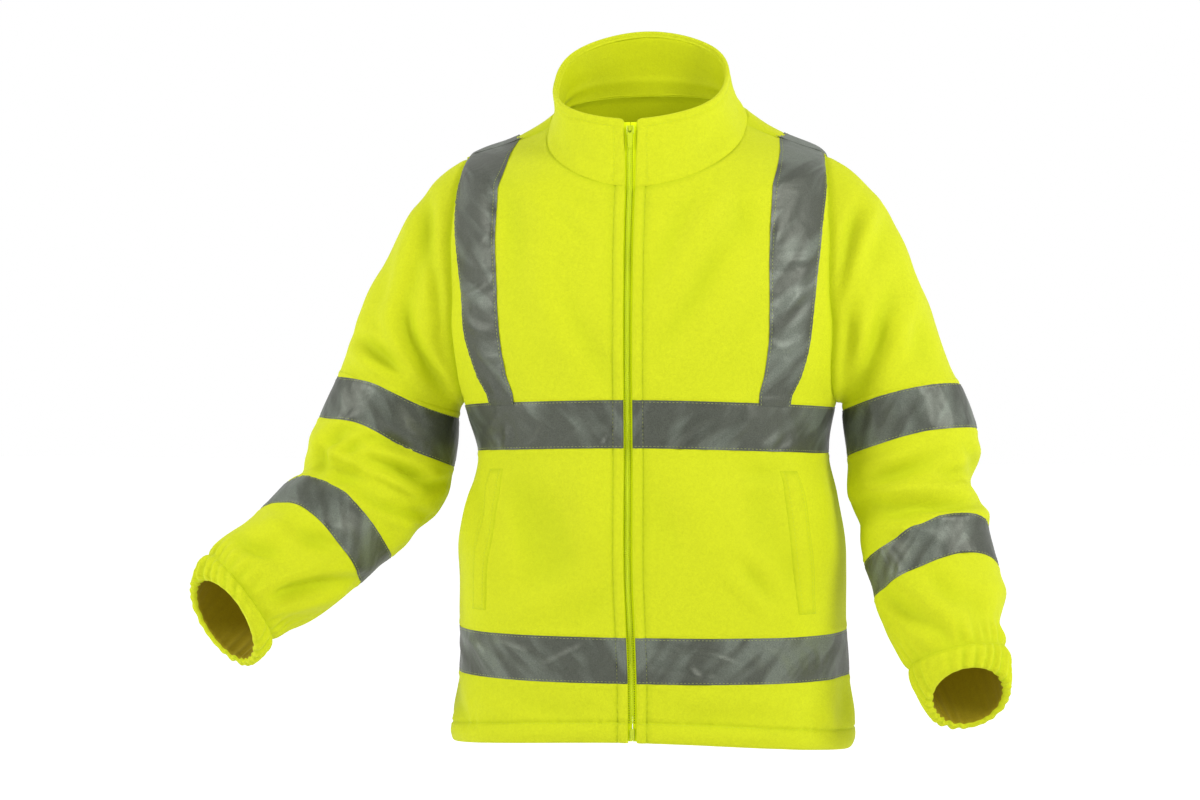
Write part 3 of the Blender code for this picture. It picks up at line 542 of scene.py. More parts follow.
def fleeceMaterial(name, finish):
    # Polyester fleece, knitted and brushed, in a fluorescent colour: a matt short nap.
    # Its emission is a painted glow that lifts the cloth in shade.
    skin, tree, shader = newMaterial(name, {
        "Roughness": finish["roughness"], "Specular IOR Level": finish["gloss"],
        "Sheen Weight": finish["sheen"], "Sheen Roughness": 0.6, "Sheen Tint": linear("FFFFF4"),
        "Emission Color": linear(finish["glowColour"]), "Emission Strength": finish["glow"],
    })
    spot = addNode(tree, "ShaderNodeTexCoord")
    nap = addNode(tree, "ShaderNodeTexNoise", {"Scale": 700.0, "Detail": 5.0, "Roughness": 0.7},
                  {"Vector": spot.outputs["Object"]})            # tufts of 1.4 mm
    pills = addNode(tree, "ShaderNodeTexNoise",
                    {"Scale": 260.0, "Detail": 3.0, "Roughness": 0.6, "Distortion": 0.8},
                    {"Vector": spot.outputs["Object"]})          # clumps of 4 mm
    wear = addNode(tree, "ShaderNodeTexNoise", {"Scale": 11.0, "Detail": 2.0},
                   {"Vector": spot.outputs["Object"]})           # brushed patches of 90 mm
    both = addNode(tree, "ShaderNodeMix", {"data_type": "FLOAT", "Factor": finish["clumps"]},
                   {"A": nap.outputs["Fac"], "B": pills.outputs["Fac"]})
    shade = addNode(tree, "ShaderNodeMapRange", {"From Min": 0.3, "From Max": 0.7},
                    {"Value": both.outputs["Result"]})
    tone = addNode(tree, "ShaderNodeMix", {"data_type": "RGBA", "A": linear(finish["deep"]),
                                           "B": linear(finish["light"])},
                   {"Factor": shade.outputs["Result"]})
    patch = addNode(tree, "ShaderNodeMapRange", {"From Min": 0.35, "From Max": 0.7, "To Max": 0.3},
                    {"Value": wear.outputs["Fac"]})
    worn = addNode(tree, "ShaderNodeMix", {"data_type": "RGBA", "B": linear(finish["patch"])},
                   {"Factor": patch.outputs["Result"], "A": tone.outputs["Result"]})
    # Painted shade: the colour darkens towards the fold colour where the attribute marks folds, seams
    # and sewn lines.
    fold = addNode(tree, "ShaderNodeAttribute", {"attribute_name": "paintedShade"})
    paintedFoldShade = addNode(tree, "ShaderNodeMix", {"data_type": "RGBA", "B": linear(finish["fold"])},
                   {"Factor": fold.outputs["Fac"], "A": worn.outputs["Result"]})
    bump = addNode(tree, "ShaderNodeBump", {"Strength": finish["nap"], "Distance": 0.0009},
                   {"Height": both.outputs["Result"]})
    tree.links.new(paintedFoldShade.outputs["Result"], shader.inputs["Base Color"])
    tree.links.new(bump.outputs["Normal"], shader.inputs["Normal"])
    return skin


# In each finish, fold is the painted shade colour of folds, seams and sewn lines, and glow is a
# painted glow.
outside = fleeceMaterial("brushedFluorescentFleece", {
    "deep": "B1BA14", "light": "C9D11B", "patch": "C3CB17", "fold": "9AAE00",
    "glowColour": "DAE600", "glow": 0.11, "sheen": 0.02, "gloss": 0.17, "roughness": 0.72,
    "nap": 0.9, "clumps": 0.42,
})
inside = fleeceMaterial("brushedFleeceInside", {
    "deep": "B0B800", "light": "C2CA02", "patch": "BAC200", "fold": "8F9F00",
    "glowColour": "C8D800", "glow": 0.11, "sheen": 0.03, "gloss": 0.2, "roughness": 0.7,
    "nap": 0.5, "clumps": 0.4,
})
# A darker copy of the fleece for the inside of the sleeves and cuffs: painted shade, with a painted
# glow.
sleeveInsidePaintedShade = fleeceMaterial("brushedFleeceInsidePaintedShade", {
    "deep": "7A6C06", "light": "94860A", "patch": "847608", "fold": "6E6408",
    "glowColour": "8A7400", "glow": 0.2, "sheen": 0.05, "gloss": 0.2, "roughness": 0.8,
    "nap": 0.5, "clumps": 0.4,
})


def tapeMaterial():
    # Reflective tape, glass beads bonded to a woven backing: a satin grey skin
    # whose small crumples catch the light.
    skin, tree, shader = newMaterial("glassBeadReflectiveTape", {
        "Roughness": 0.47, "Specular IOR Level": 0.45, "Metallic": 0.3,
    })
    spot = addNode(tree, "ShaderNodeTexCoord")
    beads = addNode(tree, "ShaderNodeTexNoise", {"Scale": 900.0, "Detail": 2.0},
                    {"Vector": spot.outputs["Object"]})          # bead clusters of 1 mm
    crumple = addNode(tree, "ShaderNodeTexNoise",
                      {"Scale": 34.0, "Detail": 2.5, "Roughness": 0.45, "Distortion": 0.5},
                      {"Vector": spot.outputs["Object"]})        # crumples of 30 mm
    lean = addNode(tree, "ShaderNodeMapping", {"Rotation": (0.0, 0.0, 0.75)},
                   {"Vector": spot.outputs["UV"]})               # slanting across the tape
    aim = addNode(tree, "ShaderNodeMapping", {"Scale": (52.0, 13.0, 1.0)},
                  {"Vector": lean.outputs["Vector"]})
    crinkle = addNode(tree, "ShaderNodeTexNoise",
                      {"Scale": 1.0, "Detail": 1.6, "Roughness": 0.45, "Distortion": 0.25},
                      {"Vector": aim.outputs["Vector"]})         # crinkles 20 mm apart, 75 mm long
    facets = addNode(tree, "ShaderNodeTexVoronoi", {"Scale": 0.62},
                     {"Vector": aim.outputs["Vector"]})          # flat facets of 30 mm
    sheen = addNode(tree, "ShaderNodeTexNoise", {"Scale": 9.0, "Detail": 2.0},
                    {"Vector": spot.outputs["Object"]})          # 110 mm patches of painted sheen
    paintedSheenStreak = addNode(tree, "ShaderNodeMath", {"operation": "MULTIPLY"},
                     {0: sheen.outputs["Fac"], 1: crinkle.outputs["Fac"]})
    paintedSheenMask = addNode(tree, "ShaderNodeMapRange", {"From Min": 0.21, "From Max": 0.33},
                     {"Value": paintedSheenStreak.outputs["Value"]})
    # Painted sheen: lighter streaks in the tape's colour where the patches and crinkles meet.
    tone = addNode(tree, "ShaderNodeMix",
                   {"data_type": "RGBA", "A": linear("4E5249"), "B": linear("697066")},
                   {"Factor": paintedSheenMask.outputs["Result"]})
    grain = addNode(tree, "ShaderNodeMapRange",
                    {"From Min": 0.3, "From Max": 0.7, "To Min": 0.78, "To Max": 1.22},
                    {"Value": beads.outputs["Fac"]})
    grained = addNode(tree, "ShaderNodeVectorMath", {"operation": "SCALE"},
                      {0: tone.outputs["Result"], "Scale": grain.outputs["Result"]})
    # The bump blends crumples, crinkles, facets and a little of the beads.
    fold = addNode(tree, "ShaderNodeMapRange", {"From Min": 0.35, "From Max": 0.65},
                   {"Value": crumple.outputs["Fac"]})
    mixed = addNode(tree, "ShaderNodeMix", {"data_type": "FLOAT", "Factor": 0.45},
                    {"A": fold.outputs["Result"], "B": crinkle.outputs["Fac"]})
    bent = addNode(tree, "ShaderNodeMix", {"data_type": "FLOAT", "Factor": 0.42},
                   {"A": mixed.outputs["Result"], "B": facets.outputs["Distance"]})
    fine = addNode(tree, "ShaderNodeMix", {"data_type": "FLOAT", "Factor": 0.07},
                   {"A": bent.outputs["Result"], "B": beads.outputs["Fac"]})
    bump = addNode(tree, "ShaderNodeBump", {"Strength": 0.58, "Distance": 0.0036},
                   {"Height": fine.outputs["Result"]})
    tree.links.new(grained.outputs["Vector"], shader.inputs["Base Color"])
    tree.links.new(bump.outputs["Normal"], shader.inputs["Normal"])
    return skin


def wovenMaterial(name, code, deepCode, pitch):
    # Woven polyester tape: a fine rib along its length, pitch metres apart, and a painted glow in its
    # own colour.
    skin, tree, shader = newMaterial(name, {
        "Roughness": 0.8, "Specular IOR Level": 0.2,
        "Emission Color": linear(code), "Emission Strength": 0.16,
    })
    spot = addNode(tree, "ShaderNodeTexCoord")
    rib = addNode(tree, "ShaderNodeTexWave",
                  {"Scale": 1 / pitch / 2, "Distortion": 0.4, "bands_direction": "Y"},
                  {"Vector": spot.outputs["UV"]})
    tone = addNode(tree, "ShaderNodeMix",
                   {"data_type": "RGBA", "A": linear(deepCode), "B": linear(code)},
                   {"Factor": rib.outputs["Fac"]})
    bump = addNode(tree, "ShaderNodeBump", {"Strength": 0.4, "Distance": 0.0003},
                   {"Height": rib.outputs["Fac"]})
    tree.links.new(tone.outputs["Result"], shader.inputs["Base Color"])
    tree.links.new(bump.outputs["Normal"], shader.inputs["Normal"])
    return skin


def smoothMaterial(name, code, deepCode, roughness):
    # Dyed nylon, painted zinc or spun thread: smooth, with a faint mottling.
    skin, tree, shader = newMaterial(name, {"Roughness": roughness, "IOR": 1.5})
    spot = addNode(tree, "ShaderNodeTexCoord")
    grain = addNode(tree, "ShaderNodeTexNoise", {"Scale": 800.0, "Detail": 2.0},
                    {"Vector": spot.outputs["Object"]})
    tone = addNode(tree, "ShaderNodeMix",
                   {"data_type": "RGBA", "A": linear(deepCode), "B": linear(code)},
                   {"Factor": grain.outputs["Fac"]})
    bump = addNode(tree, "ShaderNodeBump", {"Strength": 0.2, "Distance": 0.0001},
                   {"Height": grain.outputs["Fac"]})
    tree.links.new(tone.outputs["Result"], shader.inputs["Base Color"])
    tree.links.new(bump.outputs["Normal"], shader.inputs["Normal"])
    return skin


reflective = tapeMaterial()
zipCloth = wovenMaterial("wovenZipTape", "E4F408", "CCDC04", 0.0012)
coilPlastic = smoothMaterial("dyedNylonCoil", "EAFA14", "C8DA0C", 0.38)
paint = smoothMaterial("paintedZincSlider", "C8DA1E", "B4C414", 0.33)
thread = smoothMaterial("spunPolyesterThread", "CCDA1A", "B4C40E", 0.6)
tapeThread = smoothMaterial("spunPolyesterThreadOnTape", "A9B45A", "8E9850", 0.6)
# The coil's thread is dark olive: painted shade of the coil's turns.
coilThreadPaintedShade = smoothMaterial("spunPolyesterThreadOnCoilPaintedShade", "76860A", "606E04", 0.7)
print("materials ready")


# Panels of the body, with the bands and braces that lie on them.
bodyRelief = {
    "waves": (34.0, 0.8),                      # size and height of slow unevenness
    # creases fade within this of a side seam, of the zip and of the shoulder tip
    "calmSide": 16.0, "calmZip": 22.0, "calmTip": 30.0, "settle": 12.0,
    # rolled edges: radius; belly's height, distance from the edge and reach
    "edgeRoll": 3.0, "edgeBelly": (0.9, 5.5, 3.2), "hemRoll": 3.6, "hemBelly": (2.0, 11.0, 7.0),
    # stitched lines: depth; wrinkles' reach, height and length
    "stitchDepth": 1.6, "edgePucker": (5.0, 0.22, 11.0), "hemPucker": (6.0, 0.8, 12.0),
    "tapePress": 0.5, "tapePuff": 0.9,
    # painted shade in a fold, at a seam and beside stitched lines: share and reach
    "foldPaintedShade": (0.22, 5.0), "seamPaintedShade": (0.25, 5.0),
    "hemPaintedShade": (0.2, 2.4), "edgePaintedShade": (0.28, 2.2),
    # creases: three points (x, z), half width, height, mm
    "front": (
        (-152, 620, -132, 560, -122, 484, 17, -3.4),
        (-172, 600, -160, 560, -150, 520, 12, 2.0),
        (-85, 610, -61, 586, -32, 562, 8, -1.8),
        (-97, 597, -79, 570, -53, 543, 9, -2.0),
        (-78, 484, -51, 434, -22, 398, 14, -3.6),
        (-112, 520, -84, 460, -52, 402, 16, 2.6),
        (65, 596, 38, 548, 14, 491, 11, -3.0),
        (107, 569, 68, 491, 22, 424, 14, -3.6),
        (90, 600, 60, 540, 30, 462, 12, 2.6),
        (122, 540, 88, 470, 50, 404, 16, 2.6),
        (105, 607, 112, 564, 118, 522, 14, -3.0),
        (-132, 296, -106, 238, -62, 172, 36, -6.0),
        (-60, 306, -34, 252, -30, 190, 24, 4.0),
        (-46, 294, -35, 252, -34, 211, 12, -1.6),
        (56, 306, 80, 244, 92, 178, 34, 5.0),
        (28, 300, 36, 250, 64, 196, 16, -2.6),
        (126, 300, 128, 250, 136, 196, 18, -3.0),
        (105, 211, 125, 190, 145, 169, 9, -3.6),
        (98, 198, 118, 174, 136, 156, 8, 2.4),
        (150, 236, 160, 200, 166, 172, 12, -2.6),
        (-150, 290, -138, 250, -130, 200, 12, 2.4),
        (-184, 292, -172, 262, -166, 226, 9, -3.6),
        (-60, 196, -90, 170, -130, 150, 12, 2.0),
        (-20, 196, -34, 168, -56, 146, 12, -2.0),
        (156, 308, 136, 300, 112, 304, 8, -2.4),
        (212, 88, 218, 58, 214, 28, 9, -5.0),
        (184, 62, 196, 44, 206, 28, 8, 3.0),
        (-204, 64, -196, 42, -182, 32, 9, -4.6),
        (-180, 66, -160, 54, -134, 52, 10, 2.4),
        (-120, 62, -80, 50, -36, 56, 11, -2.0),
        (34, 58, 86, 46, 140, 56, 11, -2.2),
        (120, 66, 150, 60, 176, 64, 9, 2.0),
    ),
    "back": (
        (-130, 566, -64, 520, 4, 508, 15, -4.2),
        (128, 562, 62, 514, 2, 500, 16, -3.6),
        (-60, 566, -20, 548, 30, 552, 14, 2.4),
        (-92, 488, -84, 424, -68, 378, 13, 3.2),
        (98, 476, 86, 415, 72, 374, 12, -3.2),
        (2, 470, -6, 420, 6, 382, 14, -2.6),
        (-166, 314, -120, 272, -94, 218, 11, -4.8),
        (168, 310, 128, 264, 104, 212, 12, -4.4),
        (-140, 262, -112, 222, -104, 180, 11, 3.0),
        (-60, 300, -50, 240, -62, 176, 14, 3.0),
        (60, 298, 44, 236, 52, 168, 13, -3.0),
        (-12, 262, 2, 204, -8, 148, 13, -2.4),
        (104, 190, 92, 166, 96, 140, 12, 2.8),
        (-156, 62, -110, 46, -66, 54, 10, -2.8),
        (146, 64, 100, 50, 56, 58, 10, 2.6),
    ),
}

# Columns in each space between two lines of the cut: a count, or shares of the space.
zipSpace = [0, 0.03, 0.08, 0.15, 0.27, 0.42, 0.58, 0.74, 0.86, 0.94]
startSpace = [0, 0.05, 0.12, 0.24, 0.4, 0.65]
endSpace = [0, 0.35, 0.6, 0.76, 0.88, 0.95]
frontSpaces = [zipSpace, [0, 0.45], 3, 7, 7, 7, 13, 10, 3, 3, endSpace]
backSpaces = [startSpace, 3, 3, 10, 13, 7, 7, 7, 7, 7, 7, 7, 7, 13, 10, 3, 3, endSpace]
facingColumn = len(zipSpace)
# The spaces that braces lie in; the pocket welts lie lower down in the front one.
braceSpace = {
    "front": {wearersRight: 7, wearersLeft: 7},
    "back": {wearersRight: 14, wearersLeft: 3},
}
bandLevels = {"low_band": (79.0, 127.0), "chest_band": (317.0, 366.0)}
threads = []                                   # kind, points and normals of each sewn line


def panelRows():
    rows = steps(0, cloth["tip"], cloth["cell"], cloth["hemTurn"])
    ends = np.array((0.3, 0.9, 2.0, 633.2, 634.4, 635.2))
    return np.unique(np.concatenate((rows, ends)))


def panelShape(part, side, rows):
    # Middle surface, its normals and the row that each point belongs to.
    if part == "front":
        angle, level = between(frontLines(rows, side), frontSpaces)
    else:
        angle, level = between(backLines(rows), backSpaces)
    return {"points": bodyPoint(angle, level), "normals": bodyNormal(angle, level),
            "row": rows[:, None] + 0 * angle}


def sideDistance(part, points):
    # Distance from the side seams, and from the zip's edge on a front.
    if part == "front":
        return chord(points, 1, reverse=True), chord(points, 1)
    return fromEnds(points, 1), None


def hump(distance, height, at, reach):
    return height * bell(distance - at, reach)


def panelLift(part, shape, fromSides, fromZip):
    # Outer surface above the middle one, as the panel and the tapes on it share it.
    points, fromTip = shape["points"], cloth["tip"] - shape["row"]
    calm = 1 - bell(fromSides, bodyRelief["calmSide"])
    calm = calm * np.clip(fromTip / bodyRelief["calmTip"], 0, 1)
    if fromZip is not None:
        calm = calm * (0.25 + 0.75 * np.clip(fromZip / bodyRelief["calmZip"], 0, 1))
    settled = 1 - bell(np.minimum(fromSides, fromTip), bodyRelief["settle"])
    lift = cloth["fleece"] / 2 + seam(fromSides)
    lift = lift + creases(points, shape["normals"], bodyRelief[part], lookingOut[part]) * calm
    lift = lift + settled * waves(points, *bodyRelief["waves"])
    if fromZip is not None:
        facing = cloth["facing"]
        lift = lift + roll(fromZip, bodyRelief["edgeRoll"])
        lift = lift + hump(fromZip, *bodyRelief["edgeBelly"])
        lift = lift + topstitch(fromZip, facing, bodyRelief["stitchDepth"], phase=shape["row"])
        lift = lift + puckers(np.abs(fromZip - facing), shape["row"], *bodyRelief["edgePucker"])
    return lift


def panelPaintedShade(part, shape, fromSeams, fromTurn, fromFacing):
    # Painted shade: where the colour of the cloth darkens, in folds, at seams and beside sewn lines.
    folds = creases(shape["points"], shape["normals"], bodyRelief[part], lookingOut[part])
    share, depth = bodyRelief["foldPaintedShade"]
    total = share * np.clip(-folds / depth, 0, 1)
    lines = {"seamPaintedShade": fromSeams, "hemPaintedShade": fromTurn, "edgePaintedShade": fromFacing}
    for name, distance in lines.items():
        if distance is not None:
            share, reach = bodyRelief[name]
            total = total + share * bell(distance, reach)
    return total


def buildPanel(part, side):
    name = "back" if part == "back" else "front_" + words[side]
    rows = panelRows()
    shape = panelShape(part, side, rows)
    points, normals = shape["points"], shape["normals"]
    fromSides, fromZip = sideDistance(part, points)
    fromHem, fromTop = chord(points, 0), chord(points, 0, reverse=True)
    along = chord(points, 1)
    fromTurn = np.abs(fromHem - cloth["hemTurn"])
    lift = panelLift(part, shape, fromSides, fromZip) + seam(fromTop)
    lift = lift + roll(fromHem, bodyRelief["hemRoll"]) + hump(fromHem, *bodyRelief["hemBelly"])
    lift = lift + topstitch(fromHem, cloth["hemTurn"], bodyRelief["stitchDepth"], phase=along)
    lift = lift + puckers(fromTurn, along, *bodyRelief["hemPucker"])
    for low, high in bandLevels.values():
        lift = lift + pressed(shape["row"] - low, shape["row"] - high)
    sharp = creases(points, normals, tapeRelief[part], lookingOut[part])
    outer = points + normals * (lift + np.minimum(sharp, 0))[..., None]
    turned = (shape["row"] <= cloth["hemTurn"]).astype(float)
    fromFacing = None
    if fromZip is not None:
        turned = np.maximum(turned, fromZip <= cloth["facing"])
        fromFacing = fromZip - cloth["facing"]
        threads.append(("edge", outer[4:-3, facingColumn], normals[4:-3, facingColumn]))
    paintedShade = panelPaintedShade(part, shape, np.minimum(fromSides, fromTop), fromTurn, fromFacing)
    clothPiece(name + "_cloth", outer, [outside, inside], cloth["fleece"], name, "fleece",
               turned=turned, paintedShade=paintedShade)
    hemRow = int(np.argmin(np.abs(rows - cloth["hemTurn"])))
    threads.append(("hem", outer[hemRow], normals[hemRow]))


tapeRelief = {
    "thick": 0.45, "lift": 0.35, "chestLift": 0.55, "belly": 0.35, "bellyReach": 20.0,
    # the row of stitches beside an edge: distance in, depth and reach of its groove
    "stitch": (2.0, 0.3, 1.0), "stitchRows": (3, -4),
    # wrinkles between the stitches: reach, height, length; and how far they may dip
    "pucker": (9.0, 0.55, 8.5), "dip": -0.12,
    # distances from an edge that take a row of points
    "close": np.array((0, 0.5, 1.2, 2.0, 2.8, 4.2)), "middle": (6.4, 13),
    # the braces' foot goes under the chest band by "tuck"; their columns near an edge
    "tuck": 3.0, "cell": 3.2,
    "edgeColumns": np.array((0.12, 0.3, 0.5, 0.75)), "stitchColumn": 0.5,
    # sharper creases of the tape itself: three points (x, z), half width, height
    "front": (
        (-147, 320, -137, 333, -140, 348, 4.0, 2.4),
        (-175, 331, -159, 343, -146, 364, 4.5, 2.2),
        (-168, 320, -160, 330, -150, 334, 4.0, 1.8),
        (-118, 322, -100, 338, -92, 360, 5.0, 1.6),
        (-70, 330, -50, 346, -20, 356, 5.0, 1.6),
        (-40, 322, -26, 334, -16, 350, 4.0, 1.8),
        (16, 356, 24, 340, 20, 322, 4.0, 1.8),
        (34, 322, 50, 340, 76, 358, 4.5, 2.4),
        (52, 320, 70, 336, 92, 352, 4.0, 2.0),
        (84, 322, 104, 340, 120, 362, 5.0, 2.0),
        (124, 324, 140, 332, 150, 346, 4.5, 1.8),
        (150, 318, 162, 338, 158, 362, 5.0, 2.2),
        (170, 324, 180, 340, 184, 356, 4.5, 2.0),
        (18, 118, 70, 112, 121, 97, 4.5, 2.4),
        (18, 102, 60, 92, 90, 85, 4.0, 2.2),
        (30, 122, 56, 104, 66, 84, 4.0, 1.8),
        (96, 122, 120, 108, 132, 86, 4.5, 1.8),
        (130, 120, 150, 104, 158, 84, 4.5, 1.8),
        (178, 122, 186, 104, 182, 86, 4.5, 2.4),
        (-99, 93, -66, 111, -45, 117, 5.0, 2.2),
        (-40, 92, -26, 104, -18, 118, 4.0, 1.6),
        (-150, 118, -110, 108, -70, 90, 4.5, 2.0),
        (-190, 120, -170, 108, -160, 86, 4.5, 2.4),
        (-202, 112, -190, 96, -188, 84, 4.0, 1.8),
        (-191, 497, -180, 486, -146, 506, 4.5, 2.4),
        (-181, 460, -169, 449, -150, 449, 5.0, 1.8),
        (-186, 520, -170, 540, -150, 548, 6.0, 1.4),
        (-150, 410, -140, 400, -134, 384, 4.0, 1.8),
        (-160, 398, -152, 388, -150, 374, 4.0, 1.6),
        (-168, 438, -160, 420, -142, 424, 4.0, 1.6),
        (145, 450, 164, 481, 184, 491, 4.5, 2.6),
        (150, 508, 162, 522, 182, 520, 4.5, 1.8),
        (139, 533, 148, 554, 166, 597, 5.0, 2.0),
        (178, 540, 168, 500, 150, 470, 6.0, 1.6),
        (150, 420, 160, 400, 160, 380, 5.0, 1.8),
        (140, 436, 152, 430, 168, 440, 4.0, 1.6),
    ),
    "back": (
        (-140, 540, -160, 520, -176, 512, 4.5, 2.0),
        (142, 500, 160, 486, 178, 490, 4.5, 2.0),
        (-150, 430, -138, 410, -134, 388, 4.5, 1.8),
        (-60, 324, -10, 342, 44, 352, 5.0, 2.0),
        (-110, 322, -90, 340, -80, 360, 4.5, 1.6),
        (60, 360, 84, 342, 92, 322, 4.5, 1.8),
        (-160, 322, -140, 340, -132, 360, 4.5, 2.0),
        (150, 326, 134, 340, 120, 360, 4.5, 2.0),
        (-120, 90, -60, 108, -10, 116, 5.0, 2.0),
        (10, 86, 30, 102, 34, 120, 4.5, 1.6),
        (60, 88, 100, 104, 150, 112, 5.0, 2.0),
        (-180, 116, -160, 102, -150, 86, 4.5, 1.8),
    ),
}


def tapeRows(low, high):
    start, count = tapeRelief["middle"]
    middle = np.linspace(low + start, high - start, count)
    return np.unique(np.concatenate((low + tapeRelief["close"], middle, high - tapeRelief["close"])))


def tapeLift(points, normals, rows, towards, fromEdges, along):
    # The tape's own relief: thickness, belly, stitched edges, wrinkles, sharp creases.
    belly = np.sin(np.clip(fromEdges / tapeRelief["bellyReach"], 0, 1) * math.pi / 2)
    lift = tapeRelief["thick"] + tapeRelief["belly"] * belly
    lift = lift + topstitch(fromEdges, *tapeRelief["stitch"])
    wrinkle = puckers(fromEdges - tapeRelief["stitch"][0], along, *tapeRelief["pucker"])
    lift = lift + np.maximum(wrinkle, tapeRelief["dip"])
    return lift + creases(points, normals, rows, towards) * np.clip(fromEdges / 5, 0, 1)


def tapePiece(node, outer, **more):
    clothPiece(node + "_tape", outer, [reflective], tapeRelief["thick"], node,
               "reflective_tape", **more)


def buildBand(part, side, label):
    node = label + ("_back" if part == "back" else "_front_" + words[side])
    shape = panelShape(part, side, tapeRows(*bandLevels[label]))
    points, normals = shape["points"], shape["normals"]
    fromSides, fromZip = sideDistance(part, points)
    lift = panelLift(part, shape, fromSides, fromZip) - bodyRelief["tapePress"]
    lift = lift + tapeRelief["chestLift" if label == "chest_band" else "lift"]
    lift = lift + tapeLift(points, normals, tapeRelief[part], lookingOut[part],
                           fromEnds(points, 0), chord(points, 1))
    outer = points + normals * lift[..., None]
    tapePiece(node, outer)
    for row in tapeRelief["stitchRows"]:
        threads.append(("tape", outer[row], normals[row]))
    if fromZip is not None:
        threads.append(("tape", outer[:, facingColumn], normals[:, facingColumn]))


def buildBrace(part, side):
    node = "brace_" + part + "_" + words[side]
    foot, tip = bandLevels["chest_band"][1], cloth["tip"]
    rows = np.arange(foot - tapeRelief["tuck"], tip - 2, tapeRelief["cell"])
    full = panelShape(part, side, np.concatenate((rows, (634.6, 635.4, tip))))
    lift = panelLift(part, full, *sideDistance(part, full["points"]))
    lift = lift + bodyRelief["tapePuff"] * bell(full["row"] - foot - 3.5, 3)
    # Close columns beside the edges, for the stitching.
    spaces = frontSpaces if part == "front" else backSpaces
    space = braceSpace[part][side]
    first, last = columnOf(spaces, space), columnOf(spaces, space + 1)
    inwards = tapeRelief["edgeColumns"]
    places = np.concatenate((np.arange(first, last + 1), first + inwards, last - inwards))
    places = np.unique(places)
    below = np.clip(np.floor(places).astype(int), 0, lift.shape[1] - 2)
    share = places - below

    def across(values):
        blend = share[:, None] if values.ndim == 3 else share
        return values[:, below] + (values[:, below + 1] - values[:, below]) * blend

    points, normals = across(full["points"]), unit(across(full["normals"]))
    lift = across(lift) + tapeRelief["lift"]
    lift = lift + tapeLift(points, normals, tapeRelief[part], lookingOut[part],
                           fromEnds(points, 1), chord(points, 0))
    lift = lift + 0.5 * bell(chord(points, 0, reverse=True), 6)     # over the shoulder seam
    outer = points + normals * lift[..., None]
    tapePiece(node, outer)
    edge = int(np.argmin(np.abs(places - first - tapeRelief["stitchColumn"])))
    for column in (edge, len(places) - 1 - edge):
        threads.append(("tape", outer[:, column], normals[:, column]))


for side in (wearersRight, wearersLeft):
    buildPanel("front", side)
buildPanel("back", None)
for part, side in (("front", wearersRight), ("front", wearersLeft), ("back", None)):
    for label in bandLevels:
        buildBand(part, side, label)
for part in ("front", "back"):
    for side in (wearersRight, wearersLeft):
        buildBrace(part, side)
print("panels, bands and braces ready")


# Sleeves: rings down each sleeve with centre, half sizes, rise of the outer
# end and lift of the near side; then the gathered cuffs.
sleeveRings = {
    wearersRight: rowsOf("station x y z across through rise lift", (
        (1, -277, -2, 381, 69, 62, 19, 3), (2, -279, -3, 374, 69.5, 62, 18.5, 4),
        (3, -291, -8, 325, 78, 64, 19.5, 7), (4, -307, -22, 275, 79, 62, 22, 16),
        (5, -337, -54, 241, 68, 60, 27, 30), (6, -362, -78, 213, 67, 58, 28, 32),
        (7, -396, -108, 184, 63, 54, 39, 31), (8, -424, -134, 164, 55, 47, 52, 26),
    )),
    wearersLeft: rowsOf("station x y z across through rise lift", (
        (1, 270, -2, 383, 62, 60, 13, 4), (2, 272, -3, 376, 63.5, 60, 13, 5),
        (3, 283, -8, 328, 69, 61, 13, 7), (4, 287, -22, 272, 67, 60, 11, 12),
        (5, 300, -50, 222, 66, 58, 16.5, 19), (6, 312, -70, 184, 66, 57, 14, 22),
        (7, 320, -94, 147, 60, 53, 12, 24), (8, 334, -118, 110, 49, 44, 15, 22),
    )),
}
